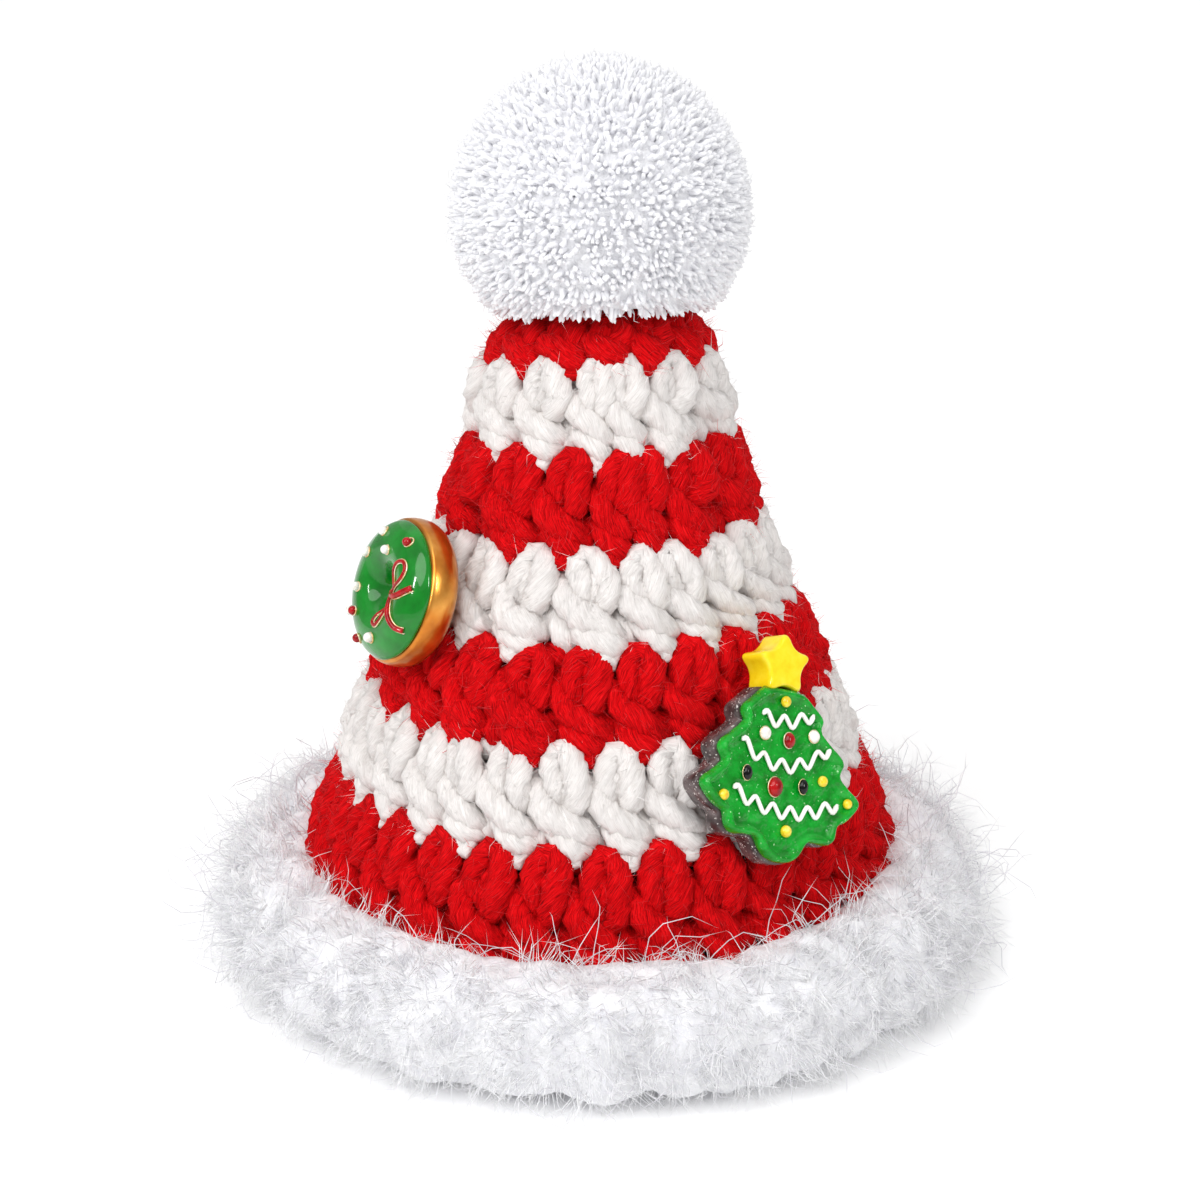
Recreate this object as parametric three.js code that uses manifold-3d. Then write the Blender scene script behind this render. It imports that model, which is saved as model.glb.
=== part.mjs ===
// A crocheted cone hat: seven rounds of thick yarn, a pompom, a brim of fur yarn and two resin charms.
// Millimetres, +Z up. The origin is the middle of the brim's flat underside.
// The front of the hat faces -Y. Angles are in degrees: 0 is the front and 90 is the +X side.

import * as THREE from "three";
import { mergeVertices } from "three/addons/utils/BufferGeometryUtils.js";
import Module from "manifold-3d";

// Driving dimensions of the crown
const WALL = 4.5; // two strands of yarn thick
const GAP = 0.4; // clear space between two rounds
const RIB_BULGE = 0.8; // how far a stitch stands out of its round
const RIB_DENT = 0.9; // how deep the crease between two stitches is
const ARCH_RISE = 1.1; // a stitch's top loop above the edge of its round
const TIP_DROP = 1.4; // the tip of the stitch above, below that edge
const PAIR_DROP = 0.3; // the crease between two stitches worked into one
const PAIR_LIMIT = 0.7; // a crease narrower than this part of a stitch is inside such a pair
const SHOULDER = { reach: 0.4, rise: 0.35 }; // where the wave between arch and tip is halfway
const INNER_SIDES = 28; // facets of the plain inside

// Edges of the rounds, from the crown's closed top down to the brim.
// lean lifts the front of the edge, side lifts its right, back sets its middle back.
const CROWN_TOP = { z: 72.4, radius: 9.6, lean: 10, side: 2, back: 2.0 };
const EDGES = [
  { z: 69.2, radius: 12.5, lean: 10, side: 2, back: 1.8 },
  { z: 60.6, radius: 14.6, lean: 6, side: 1.5, back: 1.2 },
  { z: 51.5, radius: 17.7, lean: 3.5, side: 2, back: 0.7 },
  { z: 41.8, radius: 21.5, lean: 3.5, side: 1, back: 0.4 },
  { z: 33.1, radius: 25.7, lean: 1.6, side: 0.5, back: 0.1 },
  { z: 23.5, radius: 29.2, lean: 0.9, side: 0.5, back: 0 },
  { z: 12.3, radius: 33.5, lean: 0, side: 0, back: 0 },
];
const CAP_RISE = 0.6; // the middle of the closed top above its rim
const CAP_THICKNESS = 3.6;
const SEAT_SIDES = 60; // facets of the edge that sits on the brim

// Rounds from the top down. first is the angle of one stitch, and pair is how close the next one
// is to it where two stitches share one stitch of the round above.
const RED = 0xd8101c;
const WHITE = 0xf3f1ee;
const ROUNDS = [
  { stitches: 12, first: 6.0, pair: null, colour: RED },
  { stitches: 13, first: 0.1, pair: 9.0, colour: WHITE },
  { stitches: 16, first: 10.4, pair: 6.5, colour: RED },
  { stitches: 20, first: 13.9, pair: 8.5, colour: WHITE },
  { stitches: 23, first: -4.7, pair: null, colour: RED },
  { stitches: 28, first: -42.0, pair: 6.0, colour: WHITE },
  { stitches: 30, first: 0.6, pair: null, colour: RED },
];
const RIB_ROWS = [0.34, 0.72]; // heights of the rows that carry the ribs, as parts of a round
const RIB_FLANK = 0.28; // half of a rib's flat front, as a part of the stitch

// Pompom: locks of cut yarn stand out of a round core, and the ball is pressed flat on the crown
const POMPOM = { z: 84.6, back: 2.0, core: 13.8, reach: 16.2, uneven: 0.03 };
const POMPOM_WAVES = [
  { axis: "x", pace: 7, start: 1 },
  { axis: "y", pace: 9, start: 2 },
  { axis: "z", pace: 8, start: 3 },
];
const POMPOM_DETAIL = 3; // how often the ball's triangles are divided
const POMPOM_SEAT = { clear: 1.0, block: 40 };

// Brim: plain rings round the inside and underside, and rows of fur locks on the outside.
// A lock stands out of its root by reach, at the angle lift above level.
const BRIM_SEAT = { outer: 33.9, inner: 29.2, z: 11.9 };
const BRIM_WAIST = { radius: 31.0, z: 6.0 };
const BRIM_FOOT = { inner: 34.6, outer: 39.4 };
const BRIM_LOCKS = 32;
const BRIM_LOCK_ROWS = [
  { radius: 40.6, z: 2.0, reach: 3.6, lift: 2 },
  { radius: 41.2, z: 5.0, reach: 3.9, lift: 10 },
  { radius: 40.2, z: 8.2, reach: 3.7, lift: 28 },
  { radius: 38.0, z: 11.0, reach: 3.4, lift: 52 },
  { radius: 35.4, z: 12.4, reach: 3.0, lift: 78 },
];
// The same eight locks come round four times, which keeps the brim's box centred on the axis.
const LOCK_HABITS = [
  { sway: 0.6, stretch: 1.0 },
  { sway: -1.8, stretch: 0.72 },
  { sway: 2.2, stretch: 0.9 },
  { sway: -0.6, stretch: 0.66 },
  { sway: -2.4, stretch: 0.96 },
  { sway: 1.4, stretch: 0.78 },
  { sway: 2.6, stretch: 0.86 },
  { sway: -1.2, stretch: 0.7 },
];

// Charms: where each sits on the crown, how it tilts back and how it is turned on its seat
const DONUT_SEAT = { angle: -60.2, z: 45.5, radius: 21.6, tilt: 19.1, turn: 0 };
const TREE_SEAT = { angle: 36.7, z: 29.6, radius: 28.2, tilt: 20.6, turn: -17 };
const CHARM_GAP = 0.15; // between two pieces that are glued or cast together
const BEAD_SIDES = 10;
const BEAD_RINGS = 4;

// Doughnut charm: profiles run from the axis to the rim and back
const DONUT_SIDES = 22;
const DONUT_HEIGHT = 3.6;
const DONUT_BASE_PROFILE = [
  { radius: 0, height: 0 },
  { radius: 6.8, height: 0 },
  { radius: 7.8, height: 0.9 },
  { radius: 8.0, height: 2.2 },
  { radius: 7.6, height: DONUT_HEIGHT },
  { radius: 0, height: DONUT_HEIGHT },
];
const ICING_FOOT = DONUT_HEIGHT + CHARM_GAP;
const ICING_PROFILE = [
  { radius: 0, height: 0.35 },
  { radius: 1.2, height: 0.6 },
  { radius: 2.6, height: 1.4 },
  { radius: 4.2, height: 1.9 },
  { radius: 5.8, height: 1.7 },
  { radius: 7.0, height: 1.0 },
  { radius: 7.6, height: 0 },
  { radius: 0, height: 0 },
];
// The ribbon bow: each strand runs out from the knot and, where it is a loop, back again
const BOW_KNOT = { x: 2.6, y: 0.2, radius: 0.7 };
const BOW_STRANDS = [
  { toX: 3.2, toY: 3.9, spread: 0.8 },
  { toX: 1.3, toY: -3.5, spread: 0.6 },
  { toX: 6.2, toY: 1.9, spread: 0 },
  { toX: 6.4, toY: -2.3, spread: 0 },
];
const BOW_RIBBON = { radius: 0.34, halfSides: 2, steps: 3 };
const BOW_STEPS = [0, 0.55, 1]; // the points of a strand, as parts of its way out
const BOW_LEAD = 0.1; // a loop is widest a little before its middle
const SPRINKLE_RED = 0xb01420;
const SPRINKLE_WHITE = 0xf4f1ea;
const SPRINKLES = [
  { x: -2.5, y: 5.6, radius: 0.5, colour: SPRINKLE_WHITE },
  { x: 2.7, y: 5.9, radius: 0.5, colour: SPRINKLE_RED },
  { x: -4.2, y: 2.7, radius: 0.55, colour: SPRINKLE_WHITE },
  { x: -0.2, y: 4.1, radius: 0.5, colour: SPRINKLE_WHITE },
  { x: -4.1, y: -1.2, radius: 0.5, colour: SPRINKLE_WHITE },
  { x: -3.4, y: -3.7, radius: 0.5, colour: SPRINKLE_RED },
  { x: -5.0, y: -4.1, radius: 0.5, colour: SPRINKLE_WHITE },
  { x: 1.4, y: -5.2, radius: 0.55, colour: SPRINKLE_WHITE },
  { x: -2.1, y: -6.3, radius: 0.5, colour: SPRINKLE_RED },
];

// Tree charm: half of the outline, from the neck under the star down to the foot.
// bend is the control point of the curve that leads to the point.
const TREE_NECK = { x: 2.2, y: 8.4 };
const TREE_OUTLINE = [
  { x: 4.8, y: 7.0, bendX: 3.6, bendY: 7.9 },
  { x: 4.7, y: 5.3, bendX: 5.6, bendY: 6.2 },
  { x: 7.6, y: 3.0, bendX: 5.8, bendY: 4.2 },
  { x: 7.3, y: 0.9, bendX: 8.6, bendY: 2.0 },
  { x: 9.6, y: -0.9, bendX: 8.4, bendY: -0.2 },
  { x: 9.4, y: -3.0, bendX: 10.8, bendY: -1.8 },
  { x: 7.1, y: -4.4, bendX: 8.4, bendY: -4.2 },
  { x: 5.7, y: -6.6, bendX: 7.4, bendY: -6.5 },
  { x: 3.1, y: -6.6, bendX: 4.4, bendY: -6.4 },
  { x: 0, y: -9.0, bendX: 2.4, bendY: -9.0 },
];
const TREE_SKEW = 0.07; // the cast tree's right lobes sit lower than its left ones
const TREE_CURVE_STEPS = 3;
const TREE_BASE = { depth: 2.6, scale: 1.02 };
const TREE_FACE = { depth: 1.2, scale: 1 };
const STAR = { y: 11.5, points: 5, outer: 3.1, inner: 1.65, depth: 3.9 };
// White piping: each garland hangs between two ends through its lowest point, in small waves
const GARLAND = { radius: 0.32, halfSides: 2, stepsPerWave: 4, wave: 0.45 };
const GARLANDS = [
  { leftX: -3.0, leftY: 6.2, lowX: 1.2, lowY: 5.7, rightX: 3.7, rightY: 6.6, waves: 3 },
  { leftX: -5.6, leftY: 3.4, lowX: 0.2, lowY: 1.0, rightX: 6.0, rightY: 3.3, waves: 5 },
  { leftX: -6.5, leftY: -1.6, lowX: 0.4, lowY: -3.8, rightX: 7.1, rightY: -2.6, waves: 6 },
];

// Colours and finishes of the other pieces
const POMPOM_WHITE = 0xf6f6f9;
const FUR_WHITE = 0xf7f7fa;
const DONUT_GOLD = 0xc08a48;
const ICING_GREEN = 0x14822a;
const BOW_RED = 0xb8141e;
const RESIN_GREY = 0x6e6464;
const TREE_GREEN = 0x2db43c;
const STAR_YELLOW = 0xfae128;
const PIPING_WHITE = 0xf6f4ee;
const WOOL_FINISH = { roughness: 0.95, metalness: 0 };
const GOLD_FINISH = { roughness: 0.35, metalness: 0.4 };
const RESIN_FINISH = { roughness: 0.35, metalness: 0 };
const GLOSS_FINISH = { roughness: 0.15, metalness: 0 };

// Drops on the tree's face
const BEAD_YELLOW = 0xf2d422;
const BEAD_WHITE = 0xf4f4f0;
const BEAD_RED = 0xc01018;
const BEAD_BLACK = 0x141416;
const TREE_BEADS = [
  { x: 0, y: 7.7, radius: 0.6, colour: BEAD_YELLOW },
  { x: -7.7, y: -2.3, radius: 0.6, colour: BEAD_YELLOW },
  { x: 5.1, y: -0.3, radius: 0.6, colour: BEAD_YELLOW },
  { x: 8.5, y: -2.5, radius: 0.55, colour: BEAD_YELLOW },
  { x: 0.4, y: -5.7, radius: 0.65, colour: BEAD_YELLOW },
  { x: -2.6, y: 4.3, radius: 0.65, colour: BEAD_WHITE },
  { x: 3.8, y: 4.3, radius: 0.65, colour: BEAD_WHITE },
  { x: 0.5, y: 3.7, radius: 0.75, colour: BEAD_RED },
  { x: -1.2, y: -1.2, radius: 0.95, colour: BEAD_RED },
  { x: -4.8, y: 0.1, radius: 0.7, colour: BEAD_BLACK },
  { x: 2.5, y: -1.0, radius: 0.7, colour: BEAD_BLACK },
];

const wasm = await Module();
wasm.setup();

const hat = new THREE.Group();
const radians = THREE.MathUtils.degToRad;
const mix = THREE.MathUtils.lerp;

function addPiece(parent, name, geometry, colour, finish) {
  const material = new THREE.MeshStandardMaterial({ color: colour, ...finish });
  const mesh = new THREE.Mesh(geometry, material);
  mesh.name = name;
  parent.add(mesh);
  return mesh;
}

function toSolid(geometry) {
  const bare = geometry.clone();
  bare.deleteAttribute("normal");
  bare.deleteAttribute("uv");
  const merged = mergeVertices(bare, 1e-4);
  const vertProperties = new Float32Array(merged.attributes.position.array);
  const triVerts = new Uint32Array(merged.index.array);
  return new wasm.Manifold(new wasm.Mesh({ numProp: 3, vertProperties, triVerts }));
}

function toGeometry(solid) {
  const mesh = solid.getMesh();
  const geometry = new THREE.BufferGeometry();
  geometry.setAttribute("position", new THREE.BufferAttribute(mesh.vertProperties, 3));
  geometry.setIndex(new THREE.BufferAttribute(mesh.triVerts, 1));
  return geometry;
}

// The crown's rounds are lofted through rings of points. A ring is sorted by angle, and two
// neighbouring rings may have different numbers of points. A ring of one point is a pole.
function edgePoint(edge, angle, radius, z) {
  const x = radius * Math.sin(radians(angle));
  const y = -radius * Math.cos(radians(angle));
  const tilt = x * Math.sin(radians(edge.side)) - y * Math.sin(radians(edge.lean));
  const turn = ((angle % 360) + 360) % 360;
  return { turn, position: [x, y + edge.back, z + tilt] };
}

function ringOf(points) {
  return [...points].sort((a, b) => a.turn - b.turn);
}

function loft(rings, closed) {
  const positions = [];
  const numbered = rings.map((ring) =>
    ring.map((point) => {
      positions.push(...point.position);
      return { turn: point.turn, index: positions.length / 3 - 1 };
    }),
  );
  const triangles = [];
  const last = closed ? numbered.length : numbered.length - 1;
  for (let i = 0; i < last; i++) {
    zipRings(numbered[i], numbered[(i + 1) % numbered.length], triangles);
  }
  const geometry = new THREE.BufferGeometry();
  geometry.setAttribute("position", new THREE.Float32BufferAttribute(positions, 3));
  geometry.setIndex(triangles);
  return geometry;
}

// Joins two rings with triangles, always stepping on the ring whose next point comes first
function zipRings(low, high, triangles) {
  const turnOf = (ring, i) => ring[i % ring.length].turn + 360 * Math.floor(i / ring.length);
  const lowSteps = low.length > 1 ? low.length : 0;
  const highSteps = high.length > 1 ? high.length : 0;
  let i = 0;
  let j = 0;
  while (i < lowSteps || j < highSteps) {
    const a = low[i % low.length].index;
    const b = high[j % high.length].index;
    const lowNext = i < lowSteps && (j >= highSteps || turnOf(low, i + 1) <= turnOf(high, j + 1));
    if (lowNext) {
      i += 1;
      triangles.push(a, low[i % low.length].index, b);
    } else {
      j += 1;
      triangles.push(a, high[j % high.length].index, b);
    }
  }
}

// Angles of a round's stitches, rising by less than a full turn from the first one
function stitchAngles({ stitches, first, pair }) {
  const step = pair === null ? 360 / stitches : (360 - pair) / (stitches - 1);
  const opening = pair === null ? step : pair;
  return Array.from({ length: stitches }, (_, k) => (k === 0 ? first : first + opening + (k - 1) * step));
}

// The crease after each stitch, halfway to the next one
function creaseAngles(angles) {
  return angles.map((angle, k) => {
    const next = k + 1 < angles.length ? angles[k + 1] : angles[0] + 360;
    return { angle: (angle + next) / 2, width: next - angle };
  });
}

// Each stitch's tip lies in the crease of the round below that is nearest to it and still free
function tipAngles(angles, creases) {
  const taken = new Set();
  return angles.map((angle) => {
    const options = creases
      .map((crease, k) => ({ k, off: ((((crease.angle - angle) % 360) + 540) % 360) - 180 }))
      .filter((option) => !taken.has(option.k))
      .sort((a, b) => Math.abs(a.off) - Math.abs(b.off));
    taken.add(options[0].k);
    return angle + options[0].off;
  });
}

// The wavy outer edge under a round: it rises over the stitches below and dips between them
function wavyEdge(edge, below, shift) {
  const widest = 360 / below.stitches;
  const points = [];
  const angles = stitchAngles(below);
  creaseAngles(angles).forEach(({ angle, width }, k) => {
    const half = width / 2;
    const drop = width < PAIR_LIMIT * widest ? PAIR_DROP : TIP_DROP;
    const shoulder = edge.z + SHOULDER.rise * ARCH_RISE + shift;
    points.push(edgePoint(edge, angles[k], edge.radius, edge.z + ARCH_RISE + shift));
    points.push(edgePoint(edge, angle - SHOULDER.reach * half, edge.radius, shoulder));
    points.push(edgePoint(edge, angle, edge.radius, edge.z - drop + shift));
    points.push(edgePoint(edge, angle + SHOULDER.reach * half, edge.radius, shoulder));
  });
  return ringOf(points);
}

function plainRing(edge, radius, z, sides) {
  const angles = Array.from({ length: sides }, (_, k) => (360 * k) / sides);
  return ringOf(angles.map((angle) => edgePoint(edge, angle, radius, z)));
}

// One row of ribs across a round, part of the way up from its lower edge to its upper edge
function ribRow(round, tips, low, high, part) {
  const edge = {};
  for (const key of ["z", "radius", "lean", "side", "back"]) {
    edge[key] = mix(low[key], high[key], part);
  }
  const centres = stitchAngles(round).map((angle, k) => mix(tips[k], angle, part));
  const points = [];
  creaseAngles(centres).forEach(({ angle, width }, k) => {
    const flank = RIB_FLANK * Math.min(width, 360 / round.stitches);
    points.push(edgePoint(edge, centres[k] - flank, edge.radius + RIB_BULGE, edge.z));
    points.push(edgePoint(edge, centres[k] + flank, edge.radius + RIB_BULGE, edge.z));
    points.push(edgePoint(edge, angle, edge.radius - RIB_DENT, edge.z));
  });
  return ringOf(points);
}

function buildCrown() {
  ROUNDS.forEach((round, i) => {
    const low = EDGES[i];
    const high = i === 0 ? CROWN_TOP : EDGES[i - 1];
    const below = ROUNDS[i + 1];
    const creases = creaseAngles(stitchAngles(below ?? round));
    const tips = below ? tipAngles(stitchAngles(round), creases) : stitchAngles(round);
    const lowZ = low.z + GAP / 2;
    const highZ = high.z - GAP / 2;
    const innerLow = plainRing(low, low.radius - WALL, lowZ, INNER_SIDES);
    const outerLow = below
      ? wavyEdge(low, below, GAP / 2)
      : plainRing(low, low.radius, lowZ, SEAT_SIDES);
    const ribs = RIB_ROWS.map((part) => ribRow(round, tips, low, high, part));
    let geometry;
    if (i === 0) {
      const rim = plainRing(high, high.radius, high.z, 2 * round.stitches);
      const top = [edgePoint(high, 0, 0, high.z + CAP_RISE)];
      const under = [edgePoint(high, 0, 0, high.z - CAP_THICKNESS)];
      geometry = loft([under, innerLow, outerLow, ...ribs, rim, top], false);
    } else {
      const outerHigh = wavyEdge(high, round, -GAP / 2);
      const innerHigh = plainRing(high, high.radius - WALL, highZ, INNER_SIDES);
      geometry = loft([innerLow, outerLow, ...ribs, outerHigh, innerHigh], true);
    }
    addPiece(hat, `crown_round_${i + 1}`, geometry, round.colour, WOOL_FINISH);
  });
}

function buildPompom() {
  const centre = new THREE.Vector3(0, POMPOM.back, POMPOM.z);
  const ball = new THREE.IcosahedronGeometry(1, POMPOM_DETAIL).attributes.position;
  const lockTip = (direction) => {
    const waves = POMPOM_WAVES.map(({ axis, pace, start }) => Math.sin(pace * direction[axis] + start));
    const height = (waves[0] + waves[1] + waves[2] - waves.length) / (2 * waves.length);
    return direction.clone().multiplyScalar(POMPOM.reach * (1 + POMPOM.uneven * height));
  };
  const positions = [];
  for (let k = 0; k < ball.count; k += 3) {
    const corners = [0, 1, 2].map((step) => new THREE.Vector3().fromBufferAttribute(ball, k + step).normalize());
    const valley = corners[0].clone().add(corners[1]).add(corners[2]).setLength(POMPOM.core);
    const tips = corners.map(lockTip);
    for (let side = 0; side < 3; side++) {
      for (const point of [tips[side], tips[(side + 1) % 3], valley]) {
        positions.push(...point.clone().add(centre).toArray());
      }
    }
  }
  const locks = new THREE.BufferGeometry();
  locks.setAttribute("position", new THREE.Float32BufferAttribute(positions, 3));
  const press = new THREE.BoxGeometry(POMPOM_SEAT.block, POMPOM_SEAT.block, POMPOM_SEAT.block);
  press.translate(0, 0, -POMPOM_SEAT.block / 2 + POMPOM_SEAT.clear);
  press.rotateX(-radians(CROWN_TOP.lean));
  press.rotateY(-radians(CROWN_TOP.side));
  press.translate(0, CROWN_TOP.back, CROWN_TOP.z);
  const pressed = toGeometry(toSolid(locks).subtract(toSolid(press)));
  addPiece(hat, "pompom", pressed, POMPOM_WHITE, WOOL_FINISH);
}

// A ring of locks: roots and tips by turns, half a lock further round on every second row
function lockRing({ radius, z, reach, lift }, row) {
  const level = { lean: 0, side: 0, back: 0 };
  const step = 360 / BRIM_LOCKS;
  const points = [];
  for (let k = 0; k < BRIM_LOCKS; k++) {
    const { sway, stretch } = LOCK_HABITS[k % LOCK_HABITS.length];
    const angle = step * (k + (row % 2) / 2);
    const out = reach * stretch * Math.cos(radians(lift));
    const up = reach * stretch * Math.sin(radians(lift));
    points.push(edgePoint(level, angle + sway, radius + out, z + up));
    points.push(edgePoint(level, angle + step / 2, radius, z));
  }
  return ringOf(points);
}

function buildBrim() {
  const level = { lean: 0, side: 0, back: 0 };
  const ring = (radius, z) => plainRing(level, radius, z, SEAT_SIDES);
  const geometry = loft(
    [
      ring(BRIM_FOOT.inner, 0),
      ring(BRIM_FOOT.outer, 0),
      ...BRIM_LOCK_ROWS.map(lockRing),
      ring(BRIM_SEAT.outer, BRIM_SEAT.z),
      ring(BRIM_SEAT.inner, BRIM_SEAT.z),
      ring(BRIM_WAIST.radius, BRIM_WAIST.z),
    ],
    true,
  );
  addPiece(hat, "brim", geometry, FUR_WHITE, WOOL_FINISH);
}

// A charm's own frame on the crown: X to its right, Y up the slope, Z straight out of the wool
function charmGroup(seat) {
  const round = new THREE.Group();
  round.rotation.z = radians(seat.angle);
  const face = new THREE.Group();
  face.position.set(0, -seat.radius, seat.z);
  face.rotation.x = radians(90 - seat.tilt);
  const turned = new THREE.Group();
  turned.rotation.z = radians(seat.turn);
  hat.add(round);
  round.add(face);
  face.add(turned);
  return turned;
}

function latheAlongZ(profile, sides) {
  const outline = profile.map(({ radius, height }) => new THREE.Vector2(radius, height));
  const geometry = new THREE.LatheGeometry(outline, sides);
  geometry.rotateX(Math.PI / 2);
  return geometry;
}

function bead(radius) {
  const geometry = new THREE.SphereGeometry(radius, BEAD_SIDES, BEAD_RINGS);
  geometry.rotateX(Math.PI / 2);
  return geometry;
}

// A round strand along a path, closed at both ends
function strand(points, { radius, halfSides, steps }) {
  const section = new THREE.Shape();
  section.absarc(0, 0, radius, 0, 2 * Math.PI);
  const path = new THREE.CatmullRomCurve3(points);
  return new THREE.ExtrudeGeometry(section, { steps, curveSegments: halfSides, extrudePath: path });
}

function icingHeight(x, y) {
  const distance = Math.hypot(x, y);
  const far = ICING_PROFILE.findIndex(({ radius }) => radius >= distance);
  const outer = ICING_PROFILE[far];
  const inner = ICING_PROFILE[far - 1];
  return mix(inner.height, outer.height, (distance - inner.radius) / (outer.radius - inner.radius));
}

function onIcing(x, y, clear) {
  return new THREE.Vector3(x, y, ICING_FOOT + icingHeight(x, y) + clear);
}

function buildBow(charm) {
  const clear = 2 * BOW_RIBBON.radius + CHARM_GAP;
  const knot = bead(BOW_KNOT.radius);
  const middle = onIcing(BOW_KNOT.x, BOW_KNOT.y, BOW_KNOT.radius + CHARM_GAP);
  knot.translate(middle.x, middle.y, middle.z);
  let bow = toSolid(knot);
  for (const { toX, toY, spread } of BOW_STRANDS) {
    const alongX = toX - BOW_KNOT.x;
    const alongY = toY - BOW_KNOT.y;
    for (const side of spread > 0 ? [1, -1] : [0]) {
      const points = BOW_STEPS.map((part) => {
        const bulge = side * spread * Math.sin(Math.PI * Math.min(1, part + BOW_LEAD));
        const x = BOW_KNOT.x + alongX * part - (alongY * bulge) / Math.hypot(alongX, alongY);
        const y = BOW_KNOT.y + alongY * part + (alongX * bulge) / Math.hypot(alongX, alongY);
        return onIcing(x, y, clear);
      });
      bow = bow.add(toSolid(strand(points, BOW_RIBBON)));
    }
  }
  addPiece(charm, "donut_bow", toGeometry(bow), BOW_RED, RESIN_FINISH);
}

function buildDonut() {
  const charm = charmGroup(DONUT_SEAT);
  const base = latheAlongZ(DONUT_BASE_PROFILE, DONUT_SIDES);
  addPiece(charm, "donut_base", base, DONUT_GOLD, GOLD_FINISH);
  const icing = latheAlongZ([...ICING_PROFILE].reverse(), DONUT_SIDES);
  icing.translate(0, 0, ICING_FOOT);
  addPiece(charm, "donut_icing", icing, ICING_GREEN, GLOSS_FINISH);
  buildBow(charm);
  SPRINKLES.forEach(({ x, y, radius, colour }, k) => {
    const sprinkle = addPiece(charm, `donut_sprinkle_${k + 1}`, bead(radius), colour, GLOSS_FINISH);
    sprinkle.position.copy(onIcing(x, y, radius + CHARM_GAP));
  });
}

function treePoint(x, y, scale = 1) {
  return [x * scale, (y - TREE_SKEW * x) * scale];
}

function treeShape(scale) {
  const shape = new THREE.Shape();
  const half = [TREE_NECK, ...TREE_OUTLINE];
  shape.moveTo(...treePoint(TREE_NECK.x, TREE_NECK.y, scale));
  for (const { x, y, bendX, bendY } of TREE_OUTLINE) {
    shape.quadraticCurveTo(...treePoint(bendX, bendY, scale), ...treePoint(x, y, scale));
  }
  for (let k = half.length - 1; k > 0; k--) {
    const bend = treePoint(-half[k].bendX, half[k].bendY, scale);
    shape.quadraticCurveTo(...bend, ...treePoint(-half[k - 1].x, half[k - 1].y, scale));
  }
  shape.closePath();
  return shape;
}

function plate(shape, depth, foot) {
  const options = { depth, curveSegments: TREE_CURVE_STEPS, bevelEnabled: false };
  return new THREE.ExtrudeGeometry(shape, options).translate(0, 0, foot);
}

function starShape() {
  const shape = new THREE.Shape();
  for (let k = 0; k < 2 * STAR.points; k++) {
    const radius = k % 2 === 0 ? STAR.outer : STAR.inner;
    const angle = Math.PI / 2 + (Math.PI * k) / STAR.points;
    const x = radius * Math.cos(angle);
    const y = STAR.y + radius * Math.sin(angle);
    if (k === 0) shape.moveTo(x, y);
    else shape.lineTo(x, y);
  }
  shape.closePath();
  return shape;
}

// The middle line of a garland: a parabola through its ends and its lowest point, with waves on it
function garlandPoints(garland, height) {
  const { leftX, leftY, lowX, lowY, rightX, rightY, waves } = garland;
  const count = GARLAND.stepsPerWave * waves;
  return Array.from({ length: count + 1 }, (_, step) => {
    const x = mix(leftX, rightX, step / count);
    const fromLeft = (leftY * (x - lowX) * (x - rightX)) / ((leftX - lowX) * (leftX - rightX));
    const fromLow = (lowY * (x - leftX) * (x - rightX)) / ((lowX - leftX) * (lowX - rightX));
    const fromRight = (rightY * (x - leftX) * (x - lowX)) / ((rightX - leftX) * (rightX - lowX));
    const wave = GARLAND.wave * Math.sin((2 * Math.PI * waves * step) / count);
    return new THREE.Vector3(...treePoint(x, fromLeft + fromLow + fromRight + wave), height);
  });
}

function buildTree() {
  const charm = charmGroup(TREE_SEAT);
  const faceFoot = TREE_BASE.depth + CHARM_GAP;
  const front = faceFoot + TREE_FACE.depth + CHARM_GAP;
  const base = plate(treeShape(TREE_BASE.scale), TREE_BASE.depth, 0);
  addPiece(charm, "tree_base", base, RESIN_GREY, RESIN_FINISH);
  const face = plate(treeShape(TREE_FACE.scale), TREE_FACE.depth, faceFoot);
  addPiece(charm, "tree_face", face, TREE_GREEN, GLOSS_FINISH);
  addPiece(charm, "tree_star", plate(starShape(), STAR.depth, 0), STAR_YELLOW, RESIN_FINISH);
  GARLANDS.forEach((garland, k) => {
    const points = garlandPoints(garland, front + GARLAND.radius);
    const piping = strand(points, { ...GARLAND, steps: GARLAND.stepsPerWave * garland.waves });
    addPiece(charm, `tree_garland_${k + 1}`, piping, PIPING_WHITE, RESIN_FINISH);
  });
  TREE_BEADS.forEach(({ x, y, radius, colour }, k) => {
    const drop = addPiece(charm, `tree_bead_${k + 1}`, bead(radius), colour, GLOSS_FINISH);
    drop.position.set(...treePoint(x, y), front + radius);
  });
}

buildCrown();
buildBrim();
buildPompom();
buildDonut();
buildTree();

export default hat;
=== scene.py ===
import math

import bpy
import numpy as np
from mathutils import Matrix, Vector, noise


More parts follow.
